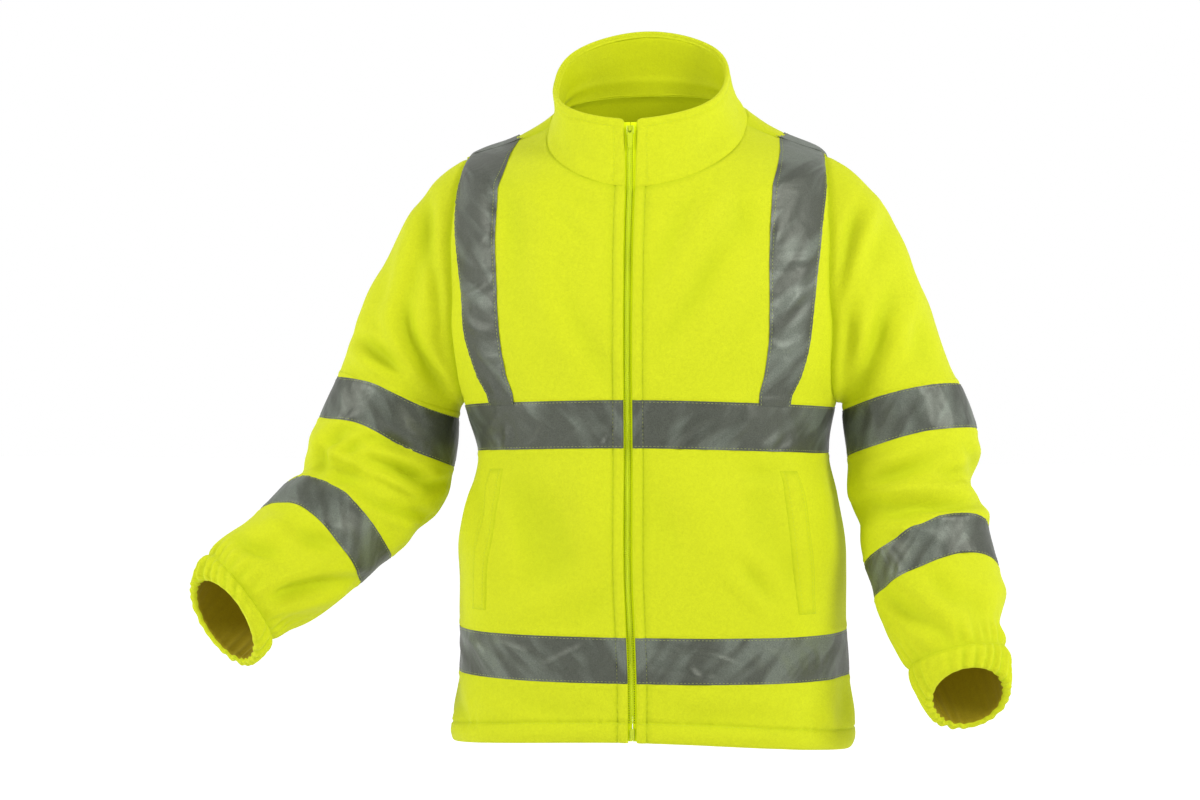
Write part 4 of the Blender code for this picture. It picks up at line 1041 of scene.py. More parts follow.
sleeve = {
    "columns": 144, "middle": {wearersRight: (-320, -20, 300), wearersLeft: (290, -20, 300)},
    # curve of the cap: how long it leads out of the armhole and into the first ring
    "capLead": {wearersRight: 0.27, wearersLeft: 0.34}, "capLand": 0.36, "capStart": 1.1,
    "tapes": {"upper": (2.0, 3.0), "lower": (5.0, 6.0)},
    # mm from station to station; above the second ring they are closer by "dense"
    "perStation": 50.0, "dense": 7.0,
    # underarm seam: depth, puff and reach; mm to a degree round the sleeve
    "seam": (0.7, 0.3, 2.6), "perDegree": 1.12, "waves": (30.0, 0.8),
    # how far each tape rides up the near side: station, degrees round, reach
    "arch": {
        (wearersRight, "upper"): ((-0.16, 74, 30),),
        (wearersRight, "lower"): ((-0.40, 60, 44), (0.10, 160, 30)),
        (wearersLeft, "upper"): ((-0.08, 80, 40),),
        (wearersLeft, "lower"): ((-0.26, 56, 46), (0.08, 160, 40)),
    },
    # large folds: station, degrees round, drift, reach along, reach round, height
    "folds": {
        wearersRight: ((4.1, 150, 0.004, 0.30, 50, -6.0), (4.7, 168, 0.004, 0.26, 46, 5.0),
                       (3.5, 40, 0.004, 0.26, 45, 4.5), (4.3, 14, 0.0, 0.30, 40, -7.0),
                       (7.0, 55, 0.006, 0.4, 46, 6.0), (7.5, 150, 0.0, 0.3, 40, -5.0),
                       (4.3, 250, 0.0, 0.3, 60, -7.0), (3.6, 236, 0.003, 0.25, 50, 5.0),
                       (5.1, 262, 0.0, 0.24, 50, 5.0), (7.2, 250, 0.003, 0.4, 50, 5.0)),
        wearersLeft: ((3.45, 8, 0.0, 0.20, 40, 4.5), (3.95, 10, 0.0, 0.20, 40, -9.0),
                      (4.68, 4, 0.0, 0.20, 42, 6.5), (4.3, 168, 0.004, 0.26, 40, -6.0),
                      (3.6, 150, 0.004, 0.3, 40, 4.0), (6.6, 10, 0.0, 0.3, 50, 5.5),
                      (7.3, 0, 0.0, 0.3, 46, -5.0), (7.1, 80, 0.004, 0.4, 50, 5.0),
                      (4.2, 262, 0.0, 0.3, 60, -7.0), (3.6, 240, 0.003, 0.25, 50, 5.0),
                      (5.0, 256, 0.0, 0.24, 50, 5.0), (7.2, 250, 0.003, 0.4, 50, 5.0)),
    },
    # creases of the cloth: three points (x, z), half width, height
    (wearersRight, "front"): (
        (-246, 588, -224, 506, -204, 420, 9, -6.5),
        (-222, 560, -203, 490, -188, 410, 7, -4.0),
        (-240, 592, -245, 530, -258, 466, 10, -5.5),
        (-262, 560, -266, 500, -280, 448, 13, 4.5),
        (-314, 442, -292, 425, -262, 408, 8, -7.0),
        (-322, 424, -296, 408, -268, 394, 8, 4.0),
        (-262, 486, -246, 430, -216, 384, 8, -7.5),
        (-284, 470, -264, 426, -240, 394, 9, 5.0),
        (-300, 520, -312, 480, -326, 442, 18, 3.5),
        (-206, 430, -200, 400, -204, 370, 7, -5.0),
        (-368, 312, -328, 299, -288, 276, 8, -5.5),
        (-339, 330, -290, 308, -240, 290, 7, -6.5),
        (-288, 342, -266, 328, -244, 314, 7, -6.0),
        (-350, 298, -338, 330, -292, 344, 7, -7.0),
        (-324, 312, -300, 329, -256, 316, 7, -7.0),
        (-340, 322, -316, 312, -296, 316, 8, 4.0),
        (-270, 303, -250, 290, -232, 276, 7, -8.5),
        (-290, 296, -262, 282, -244, 270, 8, 4.0),
        (-240, 270, -230, 280, -218, 282, 5, -5.0),
        (-302, 276, -269, 257, -240, 246, 6, -6.5),
        (-362, 300, -336, 286, -310, 290, 9, -4.5),
        (-430, 232, -402, 220, -374, 214, 8, -8.5),
        (-400, 246, -384, 240, -366, 232, 10, 6.5),
        (-362, 242, -346, 229, -320, 218, 9, -6.5),
        (-380, 164, -352, 178, -304, 182, 7, -9.5),
        (-388, 150, -364, 158, -322, 162, 8, 6.0),
        (-350, 200, -334, 204, -312, 196, 10, 3.0),
        (-412, 178, -398, 160, -386, 148, 7, -3.5),
        (-428, 200, -412, 188, -404, 176, 7, 3.0),
    ),
    (wearersRight, "back"): (
        (-230, 574, -238, 516, -224, 448, 10, -6.0),
        (-310, 438, -282, 420, -246, 428, 9, -6.5),
        (-300, 416, -280, 402, -252, 404, 9, 4.0),
        (-350, 304, -312, 288, -264, 302, 8, -8.0),
        (-330, 322, -300, 318, -268, 326, 9, 4.5),
        (-356, 276, -322, 262, -276, 270, 8, -6.0),
        (-300, 520, -312, 480, -324, 440, 16, 3.5),
        (-404, 226, -372, 200, -338, 200, 8, -6.0),
        (-392, 206, -370, 184, -346, 182, 8, 4.0),
        (-396, 180, -368, 166, -342, 172, 7, -5.0),
    ),
    (wearersLeft, "front"): (
        (226, 572, 211, 530, 195, 474, 8, -6.0),
        (244, 592, 234, 552, 224, 510, 9, 5.0),
        (214, 548, 204, 516, 194, 486, 6, 3.5),
        (264, 500, 250, 440, 214, 372, 12, -6.5),
        (282, 490, 272, 448, 246, 400, 11, 4.0),
        (220, 470, 216, 430, 204, 390, 9, -4.5),
        (234, 474, 232, 440, 222, 410, 8, 3.5),
        (276, 480, 290, 448, 302, 412, 12, -4.0),
        (264, 560, 278, 520, 290, 484, 16, 3.0),
        (312, 500, 322, 456, 328, 408, 12, -3.5),
        (236, 285, 268, 298, 326, 324, 9, -5.5),
        (240, 310, 270, 316, 300, 330, 9, 3.0),
        (226, 262, 290, 266, 366, 268, 7, -9.0),
        (240, 282, 290, 284, 340, 288, 9, 5.0),
        (232, 248, 268, 255, 304, 250, 6, -5.0),
        (250, 240, 284, 242, 310, 236, 7, 3.5),
        (336, 334, 350, 314, 350, 292, 8, -6.0),
        (306, 300, 326, 296, 344, 302, 8, -4.0),
        (228, 276, 246, 272, 262, 274, 6, -3.5),
        (304, 198, 324, 180, 346, 168, 11, -5.0),
        (280, 196, 296, 178, 312, 168, 12, 3.5),
        (280, 170, 303, 154, 324, 138, 11, -5.0),
        (256, 182, 270, 168, 290, 152, 8, -4.5),
        (342, 186, 354, 162, 360, 140, 9, -4.0),
        (296, 126, 306, 120, 316, 126, 6, -4.0),
        (330, 150, 342, 138, 352, 128, 8, 3.0),
    ),
    (wearersLeft, "back"): (
        (222, 584, 228, 520, 210, 456, 10, -6.0),
        (244, 436, 272, 418, 308, 428, 9, -6.5),
        (250, 412, 276, 400, 300, 408, 9, 4.0),
        (236, 304, 278, 284, 334, 298, 8, -8.0),
        (244, 322, 276, 310, 316, 320, 9, 4.5),
        (238, 272, 280, 256, 332, 268, 8, -6.0),
        (290, 520, 300, 480, 306, 440, 16, 3.5),
        (260, 204, 296, 188, 334, 202, 8, -6.0),
        (270, 178, 298, 168, 326, 176, 8, 4.0),
        (274, 152, 300, 140, 332, 150, 7, -5.0),
    ),
    # sharper creases of the sleeve tapes
    "tapeCreases": (
        (-342, 396, -330, 372, -336, 350, 5, 1.2), (-300, 402, -288, 384, -262, 378, 6, 1.2),
        (-262, 372, -248, 352, -238, 340, 6, -1.4), (-318, 352, -300, 362, -276, 350, 5, 1.0),
        (-372, 262, -356, 244, -344, 232, 5, 1.2), (-330, 226, -316, 210, -308, 190, 6, -1.2),
        (-402, 250, -392, 236, -388, 222, 5, 1.0),
        (232, 386, 244, 366, 240, 342, 5, 1.4), (262, 392, 272, 360, 268, 338, 7, 1.4),
        (300, 388, 312, 366, 316, 344, 5, -1.4), (284, 376, 300, 350, 296, 330, 5, 1.0),
        (322, 372, 334, 356, 344, 350, 5, 1.0),
        (262, 222, 276, 204, 280, 186, 5, 1.4), (300, 226, 312, 206, 326, 190, 6, 1.2),
        (330, 236, 344, 214, 350, 196, 5, -1.2), (246, 210, 258, 196, 262, 180, 5, -1.0),
    ),
}


def armholeLoop(side):
    # The seam from the shoulder tip down the front and up the back, with the
    # way the sleeve leaves it, at even steps.
    half = sleeve["columns"] // 2
    tip, armpit = cloth["tip"], cloth["armpit"]
    fine = np.linspace(tip, armpit, 400)
    marks = armhole["at"]

    def around(part, row):
        angle = seamAngle(row, part)
        return side * (angle if part == "front" else math.pi - angle)

    halves = []
    for part in ("front", "back"):
        run = chord(bodyPoint(around(part, fine), fine)[None], 1)[0]
        even = np.linspace(0, run[-1], half + 1)
        level = tip + (armpit - tip) * np.interp(even, run, np.arange(len(fine))) / (len(fine) - 1)
        down = 1 - np.interp(level, marks, np.arange(len(marks))) / (len(marks) - 1)
        halves.append((around(part, level), level, down))
    angle, level, down = (np.concatenate((front, back[1:-1][::-1])) for front, back in zip(*halves))
    lean = np.where(np.arange(len(angle)) <= half, -1, 1)
    point = bodyPoint(angle, level)
    along = unit(np.roll(point, -1, axis=0) - np.roll(point, 1, axis=0))
    away = unit(stack(side * (1 - 0.2 * down), lean * 0.14 * np.sin(math.pi * down),
                      -(0.42 + 0.22 * down)))
    hold = np.sum(away * along, axis=-1) * 0.8 * np.minimum(1, 2 * down) ** 2
    return point, unit(away - along * hold[:, None])


def sleevePoint(side, station, degrees):
    values = [look(sleeveRings[side], name, station)
              for name in "x y z across through rise lift".split()]
    return ringAt(side, values, degrees, sleeve["folds"][side], station)


def ringAt(side, values, degrees, folds=(), station=0.0):
    # Points of a ring, from its centre, half sizes, rise of its outer end and
    # lift of its near side.
    x, y, z, across, through, rise, lift = values
    rise, lift, turn = np.radians(rise), np.radians(lift), np.radians(degrees)
    zero = 0 * turn
    out = stack(side * np.cos(rise) + zero, zero, np.sin(rise) + zero)
    up = stack(-side * np.sin(rise) + zero, zero, np.cos(rise) + zero)
    near = stack(zero, -np.cos(lift) + zero, zero) + up * (np.sin(lift) + zero)[..., None]
    off = out * (across * np.cos(turn))[..., None] + near * (through * np.sin(turn))[..., None]
    height = zero
    for at, middle, drift, reach, wide, tall in folds:
        beside = wrapped(degrees - middle)
        height = height + tall * bell(station - at - drift * beside, reach) * bell(beside, wide)
    return stack(x + zero, y + zero, z + zero) + off + unit(off) * height[..., None]


def tubeNormals(points):
    # Normals of a tube of points, pointing away from its own middle line.
    rows = np.gradient(points, axis=0)
    columns = np.roll(points, -1, axis=1) - np.roll(points, 1, axis=1)
    normals = unit(np.cross(rows, columns))
    away = points - points.mean(axis=1, keepdims=True)
    return normals * np.sign(np.sum(normals * away, axis=-1).mean())


def sleeveSurface(side):
    # Rows of points from the armhole to the end, their stations and their angles.
    point, away = armholeLoop(side)
    count = len(point)
    degrees = np.arange(count) * 360 / count
    first = sleevePoint(side, np.full(count, 1.0), degrees)
    second = sleevePoint(side, np.full(count, 1.4), degrees)
    start = point + away * sleeve["capStart"]
    span = np.linalg.norm(first - start, axis=-1)[:, None]
    lead = start + away * span * sleeve["capLead"][side]
    land = first - unit(second - first) * span * sleeve["capLand"]
    shares = np.concatenate((
        (0.002, 0.006), np.linspace(0, 0.1, 9)[1:], np.linspace(0.1, 1, 66)[1:]))
    cap = [start * (1 - t) ** 3 + lead * 3 * t * (1 - t) ** 2
           + land * 3 * t * t * (1 - t) + first * t ** 3 for t in shares]
    stations = np.unique(np.concatenate((
        np.linspace(1.02, 2, 4), np.linspace(2, 3, 17), np.linspace(3, 5, 36), np.linspace(5, 6, 17),
        np.linspace(6, 8, 24), (7.93, 7.97))))
    rings = [sleevePoint(side, np.full(count, station), degrees) for station in stations]
    # The cap lies above every station.
    marks = np.concatenate((np.full(len(cap) + 1, -9.0), stations))
    return np.stack([point] + cap + rings), marks, degrees


def sleeveRelief(side, points, normals):
    return (creases(points, normals, sleeve[side, "front"], lookingOut["front"])
            + creases(points, normals, sleeve[side, "back"], lookingOut["back"])
            + waves(points, *sleeve["waves"]))


def archOf(side, label, degrees):
    # How far a tape rides up the sleeve at each angle, in stations.
    rise = 0 * degrees
    for height, middle, reach in sleeve["arch"][side, label]:
        rise = rise + height * bell(wrapped(degrees - middle), reach)
    return rise


cuff = {
    # gathers round the cuff and their depth; the casing's wall and belly; the lip's
    # roll towards the hand and its thickness inside
    "gathers": 25, "deep": 2.3, "wall": 5.0, "belly": 3.2, "roll": 3.4, "lip": 2.6,
    # the hem inside: two rows, each some way up the sleeve and off its wall
    "columns": 252, "lipRows": 9, "hem": ((1.5, 1.0), (5.0, 2.6)),
    # how far the gathers run up the cloth above, and the blouse they make: height, at, reach
    "climb": 19.0, "blouse": (0.6, 18, 14),
    # the mouth: centre x y z, half across, half through, rise, lift
    "mouth": {wearersRight: (-434, -152, 143, 52, 45, 54, 46),
              wearersLeft: (345, -138, 76, 41.5, 41, 24, 54)},
}


def gatherWave(degrees):
    # Uneven gathers: their size and spacing drift round the cuff.
    turn = np.radians(degrees)
    uneven = 0.62 + 0.34 * np.sin(2 * turn + 0.9) + 0.26 * np.sin(5 * turn + 1.0)
    drift = 1.3 * np.sin(2 * turn) + 0.9 * np.sin(5 * turn + 2.0) + 0.4 * np.sin(9 * turn)
    return np.cos(cuff["gathers"] * turn + drift) * uneven


def buildSleeve(side):
    points, marks, degrees = sleeveSurface(side)
    normals = tubeNormals(points)
    run, toEnd = chord(points, 0), chord(points, 0, reverse=True)
    relief = sleeveRelief(side, points, normals) * (1 - bell(run, 14)) * (1 - bell(toEnd, 8))
    lift = cloth["fleece"] / 2 + relief + seam(run) - 0.8 * bell(toEnd, 8)
    underarm = np.abs(wrapped(degrees - 180))[None] * sleeve["perDegree"]
    lift = lift + seam(underarm, *sleeve["seam"]) * np.clip(run / 8, 0, 1)
    # The elastic's gathers run on up the cloth, and it blouses over them.
    wave = gatherWave(degrees)[None]
    climb = bell(toEnd, cuff["climb"], 1.6) * (1 - bell(toEnd, 7))
    lift = lift + 1.5 * cuff["deep"] * climb * wave + hump(toEnd, *cuff["blouse"])
    station = np.where(marks < 2, 2 + (marks - 2) / sleeve["dense"], marks)[:, None] + 0 * run
    for label, edges in sleeve["tapes"].items():
        arch = archOf(side, label, degrees)
        lift = lift + pressed(*((station - edge - arch) * sleeve["perStation"] for edge in edges))
    sharp = creases(points, normals, sleeve["tapeCreases"], lookingOut["front"])
    lift = lift + np.minimum(sharp, 0) * np.clip(run / 60, 0, 1)
    # Painted shade in the folds, at both ends of the sleeve and in the troughs of the gathers.
    paintedShade = 0.3 * np.clip(-relief / 7, 0, 1) + 0.3 * bell(np.minimum(run, toEnd), 5)
    paintedShade = paintedShade + 0.6 * climb * np.clip(-wave, 0, 1)
    outer = points + normals * lift[..., None]
    name = "sleeve_" + words[side]
    clothPiece(name + "_cloth", outer, [outside, sleeveInsidePaintedShade], cloth["fleece"], name, "fleece",
               around=True, centre=sleeve["middle"][side], paintedShade=paintedShade)


def buildSleeveTape(side, label):
    node = "sleeve_tape_" + label + "_" + words[side]
    degrees = np.arange(sleeve["columns"]) * 360 / sleeve["columns"]
    low, high = sleeve["tapes"][label]
    per = sleeve["perStation"]
    spots = tapeRows(low * per, high * per) / per
    arch = archOf(side, label, degrees)
    wide = []
    # One row more at each end, for the normals of the last ones.
    for spot in (spots[0] - 0.03, *spots, spots[-1] + 0.03):
        place = spot + arch
        place = np.where(place < 2, 2 + (place - 2) * sleeve["dense"], place)
        wide.append(sleevePoint(side, place, degrees))
    wide = np.stack(wide)
    points, normals = wide[1:-1], tubeNormals(wide)[1:-1]
    lift = cloth["fleece"] / 2 + sleeveRelief(side, points, normals)
    lift = lift + tapeRelief["lift"] - bodyRelief["tapePress"]
    lift = lift + tapeLift(points, normals, sleeve["tapeCreases"], lookingOut["front"],
                           fromEnds(points, 0), chord(points, 1))
    outer = points + normals * lift[..., None]
    tapePiece(node, outer, around=True, centre=tuple(points.mean(axis=(0, 1))))
    for row in tapeRelief["stitchRows"]:
        line, out = (np.concatenate((grid[row], grid[row][:1])) for grid in (outer, normals))
        threads.append(("sleeve", line, out))


for side in (wearersRight, wearersLeft):
    buildSleeve(side)
    for label in sleeve["tapes"]:
        buildSleeveTape(side, label)
print("sleeves ready")


def buildCuff(side):
    # The sleeve's end turned in as a casing and gathered by its elastic.
    columns = cuff["columns"]
    turn = np.arange(columns) * 360 / columns
    start = sleevePoint(side, np.full(columns, 8.0), turn)
    mouth = ringAt(side, cuff["mouth"][side], turn)
    way = unit(mouth - start)
    shares = np.concatenate(((0.0, 0.015, 0.05), np.linspace(0.1, 1, 14)))
    middle = np.stack([start + (mouth - start) * s for s in shares])
    out = tubeNormals(middle)
    wave, radians = gatherWave(turn), np.radians(turn)
    half = cuff["wall"] / 2

    def bellyAt(share):
        return cuff["belly"] * math.sin(math.pi * min(1, 0.04 + share / 1.12)) ** 0.8

    rows = []
    for s, place, n in zip(shares, middle, out):
        # The casing grows from the sleeve's end, with a stitched groove round its middle.
        grow = 1 - 0.4 * math.exp(-(s / 0.1) ** 1.3)
        groove = -0.7 * bell(s - 0.55, 0.08)
        fade = 1 - 0.5 * s * (1 + np.sin(4 * radians + 3.0)) / 2
        slant = gatherWave(turn + 1.6 * s * np.sin(2 * radians + 1.0))
        lift = grow * (half + bellyAt(s) + groove + cuff["deep"] * slant * fade)
        rows.append(place + n * lift[:, None])
    # The lip rolls in towards the hand.
    edge, inner = half + bellyAt(1), -half - cuff["lip"]
    for bend in np.linspace(0.1, 0.95, cuff["lipRows"]) * math.pi:
        deep = (edge + inner) / 2 + (edge - inner) / 2 * math.cos(bend)
        share = (1 - math.cos(bend)) / 2
        rows.append(middle[-1] + way * (cuff["roll"] * math.sin(bend) + wave * 0.3)[:, None]
                    + out[-1] * (deep + wave * cuff["deep"] * (0.9 - 0.35 * share))[:, None])
    for s, place, n in list(zip(shares, middle, out))[:1:-1]:
        deep = half + 0.6 + cuff["lip"] * s ** 2
        rows.append(place - n * (deep - cuff["deep"] * s * wave * 0.45)[:, None])
    # Its hem lies some way up inside the sleeve.
    for back, deep in cuff["hem"]:
        rows.append(start - way * back - out[0] * (half + deep))
    rows = np.stack(rows)
    # Painted shade in the troughs of the gathers, less towards the sleeve, and at the seam to the
    # sleeve.
    paintedShade = 0 * rows[..., 0] + 0.6 * np.clip(-wave - 0.1, 0, 1)
    paintedShade[:len(shares)] *= np.clip(shares * 2 + 0.3, 0, 1)[:, None]
    paintedShade[:3] = 0.2                                                # the seam to the sleeve
    shaped = bmesh.new()
    spread(shaped, rows, True, paintedShade=paintedShade)
    bmesh.ops.bridge_loops(shaped, edges=[e for e in shaped.edges if e.is_boundary])
    bmesh.ops.recalc_face_normals(shaped, faces=shaped.faces[:])
    name = "cuff_" + words[side]
    piece = newPiece(name + "_casing", shaped, [outside, sleeveInsidePaintedShade], name, "fleece")
    # The inside faces take the darker copy of the fleece, painted shade.
    lined = (len(shares) + cuff["lipRows"] - 1) * columns
    for face in piece.data.polygons:
        if lined <= face.index < (len(rows) - 1) * columns:
            face.material_index = 1


for side in (wearersRight, wearersLeft):
    buildCuff(side)
print("cuffs ready")


collar = {
    "layer": 2.0, "gap": 4.3, "middle": (0, 0, 690),
    # rows of stitches: distance in, depth and reach; the columns sewn along the zip;
    # the rim's wrinkles: reach, height, length
    "rimStitch": (9.0, 0.8, 1.6), "zipStitch": (11.0, 0.9, 1.6), "innerStitch": (11.0, 0.7, 1.6),
    "sewnColumns": (6, -7), "pucker": (5.0, 0.25, 10.0), "zipRoll": 1.9,
    "waves": (26.0, 0.6), "innerWaves": (30.0, 0.8),
    # share of the height that the cloth reaches before its rim rolls over, and
    # the height that the roll adds
    "rolled": 0.965, "roll": 2.6,
    # rows of the outer layer inside the rim, down to the seam that ends it
    "inRim": (0.8, 1.8, 2.8, 3.5),
    # its rounded front corners: width, height, and rows over which they fade
    "corner": (7.0, 3.4, 14),
    # the inner layer: its top, its foot beside the zip, wall and how far it tucks in
    "innerTop": 0.93, "innerFoot": 0.09, "innerWall": 1.6, "tuck": 2.6,
    # creases: three points (x, z), half width, height
    "front": (
        (-92, 690, -74, 672, -50, 660, 9, 1.2), (-70, 650, -56, 628, -40, 616, 8, -1.4),
        (60, 690, 74, 668, 70, 650, 8, -1.4), (40, 664, 52, 640, 62, 630, 8, 1.2),
        (-26, 668, -23, 646, -25, 622, 5, -1.8), (15, 666, 12, 645, 16, 624, 5, -1.8),
        (-98, 668, -88, 640, -72, 616, 10, -1.6), (86, 672, 92, 648, 84, 626, 9, 1.4),
    ),
    "back": (
        (-60, 772, -20, 760, 30, 766, 10, 1.2), (-70, 740, -50, 752, -20, 744, 10, -1.0),
        (40, 748, 66, 738, 80, 722, 10, -1.0),
    ),
}


def collarEdge(share, side):
    height = look(collarRings, "frontZ", share)
    x = look(zipLine, "middle", height) + side * look(zipLine, "halfGap", height)
    return angleFor(x - look(collarRings, "shift", share), share, collarRings)


# Columns of the collar as shares of its length, close together beside the zip.
byZip = np.array((0, 0.002, 0.005, 0.009, 0.014, 0.0175, 0.0195, 0.021, 0.0225, 0.0245, 0.029))
collarColumns = np.concatenate((byZip, np.linspace(0.035, 0.965, 150), 1 - byZip[::-1]))


def collarSurface(share):
    # Points and normals from the left zip edge round to the right one; share
    # holds a row's part of the height at each of its points.
    first, last = collarEdge(share[:, 0], 1), 2 * math.pi + collarEdge(share[:, -1], -1)
    angle = first[:, None] + (last - first)[:, None] * collarColumns
    return collarPoint(angle, share), collarNormal(angle, share)


def collarRelief(points, normals, fromZip, fromRim):
    lift = (creases(points, normals, collar["front"], lookingOut["front"])
            + creases(points, normals, collar["back"], lookingOut["back"]))
    lift = lift * (1 - bell(fromRim, 9)) * (1 - bell(fromZip, 10))
    return lift + 0.7 * waves(points, *collar["waves"])


def buildCollarOuter():
    shares = np.unique(np.concatenate((
        np.linspace(0, 1, 24), (0.012, 0.03, 0.86, 0.875, 0.89, 0.91))))
    points, normals = collarSurface(collar["rolled"] * shares[:, None] + 0 * collarColumns)
    fromZip, fromRim = fromEnds(points, 1), chord(points, 0, reverse=True) + collar["roll"]
    half, gap = collar["layer"] / 2, collar["gap"]
    fromSewn = np.abs(fromRim - collar["rimStitch"][0])
    lift = half + collarRelief(points, normals, fromZip, fromRim)
    lift = lift + seam(chord(points, 0), half, 0.5, 3.0) + roll(fromZip, collar["zipRoll"])
    lift = lift + topstitch(fromRim, *collar["rimStitch"]) + topstitch(fromZip, *collar["zipStitch"])
    lift = lift + puckers(fromSewn, chord(points, 1), *collar["pucker"])
    outer = points + normals * lift[..., None]
    # Stitches along the rim, and beside the zip from the neck up to that row.
    sewn = int(np.argmin(fromSewn[:, len(collarColumns) // 2]))
    start, end = collar["sewnColumns"]
    threads.append(("edge", outer[sewn, start:end + 1], normals[sewn, start:end + 1]))
    for column in (start, end):
        threads.append(("edge", outer[3:sewn + 1, column], normals[3:sewn + 1, column]))
    # The rim: the outer layer turns over and ends at a seam just inside.
    top, topOut, topLift = points[-1], normals[-1], lift[-1]
    rise = unit(points[-1] - points[-2])
    behind, height = gap - 0.4, 0.95 * (gap + collar["layer"]) / 2
    rows = list(outer)
    for bend in np.linspace(0.1, 1.0, 9) * math.pi:
        off = topLift * (1 + math.cos(bend)) / 2 - behind * (1 - math.cos(bend)) / 2
        rows.append(top + topOut * off[:, None] + rise * (height * math.sin(bend)))
    seamAt = collar["inRim"][-1]
    for away in collar["inRim"]:
        rows.append(top - topOut * (behind + 1.3 * bell(away - seamAt, 0.9)) - rise * away)
    rows = np.stack(rows)
    reach, deep, fade = collar["corner"]
    corner = np.minimum(1, fromZip[-1] / reach)
    drop = deep * (1 - np.sqrt(np.maximum(0, 1 - (1 - corner) ** 2)))
    share = np.clip((np.arange(len(rows)) - len(shares) + fade) / fade, 0, 1)
    rows[..., 2] -= drop * share[:, None]
    clothPiece("collar_outer_cloth", rows, [outside, inside], collar["layer"] - 0.6, "collar_outer",
               "fleece", centre=collar["middle"])
    return fromZip[0]


def buildCollarInner(footFromZip):
    # The inner layer, from the seam inside the rim down to the neck seam.
    foot = collar["innerFoot"] * np.clip(1.6 * np.clip(1 - footFromZip / 26, 0, 1), 0, 1)
    share = foot + (collar["innerTop"] - foot) * np.linspace(0, 1, 28)[:, None]
    points, normals = collarSurface(share)
    fromFoot, fromTop = chord(points, 0), chord(points, 0, reverse=True)
    lift = 0.4 - collar["gap"] - collar["layer"] / 2
    lift = lift - 0.5 * np.sin(np.clip(fromTop / 30, 0, 1) * math.pi)
    lift = lift + (collar["gap"] - 0.7) * bell(fromFoot, 10)        # down to the neck seam
    lift = lift - 1.2 * bell(fromFoot - 16, 5) + 1.5 * bell(fromTop, 1.6)
    lift = lift + 0.6 * waves(points, *collar["innerWaves"])
    lift = lift - topstitch(fromEnds(points, 1), *collar["innerStitch"])
    face = points + normals * lift[..., None]
    face[..., 2] -= collar["tuck"] * bell(fromFoot, 3.5)            # behind the yoke
    shaped = bmesh.new()
    spread(shaped, face)
    shaped.normal_update()
    turnFacesOut(shaped, collar["middle"])
    bmesh.ops.reverse_faces(shaped, faces=shaped.faces[:])
    piece = newPiece("collar_inner_cloth", shaped, [inside], "collar_inner", "fleece")
    wall = piece.modifiers.new("wall", "SOLIDIFY")
    wall.thickness = collar["innerWall"] * mm
    wall.offset = -1.0


buildCollarInner(buildCollarOuter())
print("collar ready")


# Pocket welts: a folded strip sewn over each slanted pocket mouth.
welt = {
    "rows": (150.0, 297.0, 44), "thick": 1.6, "high": 1.5, "edge": 1.5,
    # the row of stitches round it: distance in, depth and reach; wrinkles beside the edge
    "stitch": (4.0, 0.5, 1.4), "pucker": (6.0, 0.2, 9.0), "stitchColumns": (2, -3),
}


def buildWelt(side):
    node = "pocket_welt_" + words[side]
    full = panelShape("front", side, np.linspace(*welt["rows"]))
    space = braceSpace["front"][side]
    place = slice(columnOf(frontSpaces, space), columnOf(frontSpaces, space + 1) + 1)
    lift = panelLift("front", full, *sideDistance("front", full["points"]))[:, place]
    points, normals = full["points"][:, place], full["normals"][:, place]
    near = np.minimum(fromEnds(points, 1), fromEnds(points, 0))
    lift = lift + welt["high"] + roll(near, welt["edge"]) + topstitch(near, *welt["stitch"])
    lift = lift + puckers(near, chord(points, 0), *welt["pucker"])
    outer = points + normals * lift[..., None]
    # Painted shade along its edge and beside its row of stitches.
    paintedShade = 0.5 * bell(near, 1.2) + 0.3 * bell(near - welt["stitch"][0], 1.4)
    clothPiece(node + "_cloth", outer, [outside], welt["thick"], node, "fleece", paintedShade=paintedShade)
    for column in welt["stitchColumns"]:
        threads.append(("edge", outer[:, column], normals[:, column]))


for side in (wearersRight, wearersLeft):
    buildWelt(side)
print("pockets ready")


# The zip: its two tapes and the closed coil between them.
zipParts = {
    "tapeThick": 0.6, "columns": (0.3, 1.2, 2.2, 3.2, 4.2, 5.2, 6.4, 9.0, 12.0, 14.5),
    # a rib under the coil: height, distance from the middle, reach
    "rib": (0.18, 3.0, 0.8),
    # both ends on the body, and the parts of the collar that the zip spans
    "levels": (2.0, cloth["neck"] - 3.0), "collar": (0.05, 0.9), "coilTop": 0.8,
    # depth behind the middle surface: on the body, on the collar, and more at the neck
    "behindBody": cloth["turned"] - cloth["fleece"] / 2 + 0.6, "behindCollar": 1.6, "atNeck": 0.7,
    # the coil: pitch, radius of the wire, middle and half width of a row of turns,
    # half their height, gap to the tapes
    "pitch": 2.0, "wire": 0.42, "coilAcross": (0.9, 1.35), "coilOut": 0.55, "coilGap": 0.45,
    # the coil sits a little to one side; corners of its wire, points in each turn,
    # and the place of the stitches that hold it
    "shift": -0.6, "sides": 6, "perTurn": 8, "sewn": 2.9, "sewnOut": 0.75,
}


def zipStation(run):
    # A place along the zip, from 0 at the hem to 1 at the neck and 2 at the rim.
    low = run <= 1.0
    bottom, top = zipParts["levels"]
    foot, rise = zipParts["collar"]
    level = np.where(low, bottom + (top - bottom) * run, cloth["neck"])
    share = np.where(low, foot, foot + rise * (run - 1.0))

    def surface(away):
        onBody = zipAngle(level, 1, away)
        height = look(collarRings, "frontZ", share)
        x = look(zipLine, "middle", height) + away - look(collarRings, "shift", share)
        onCollar = angleFor(x, share, collarRings)
        point = np.where(low[..., None], bodyPoint(onBody, level), collarPoint(onCollar, share))
        out = np.where(low[..., None], bodyNormal(onBody, level), collarNormal(onCollar, share))
        depth = np.where(low, zipParts["behindBody"], zipParts["behindCollar"])
        return point, out, -depth - zipParts["atNeck"] * bell(run - 1.0, 0.01)
    return surface


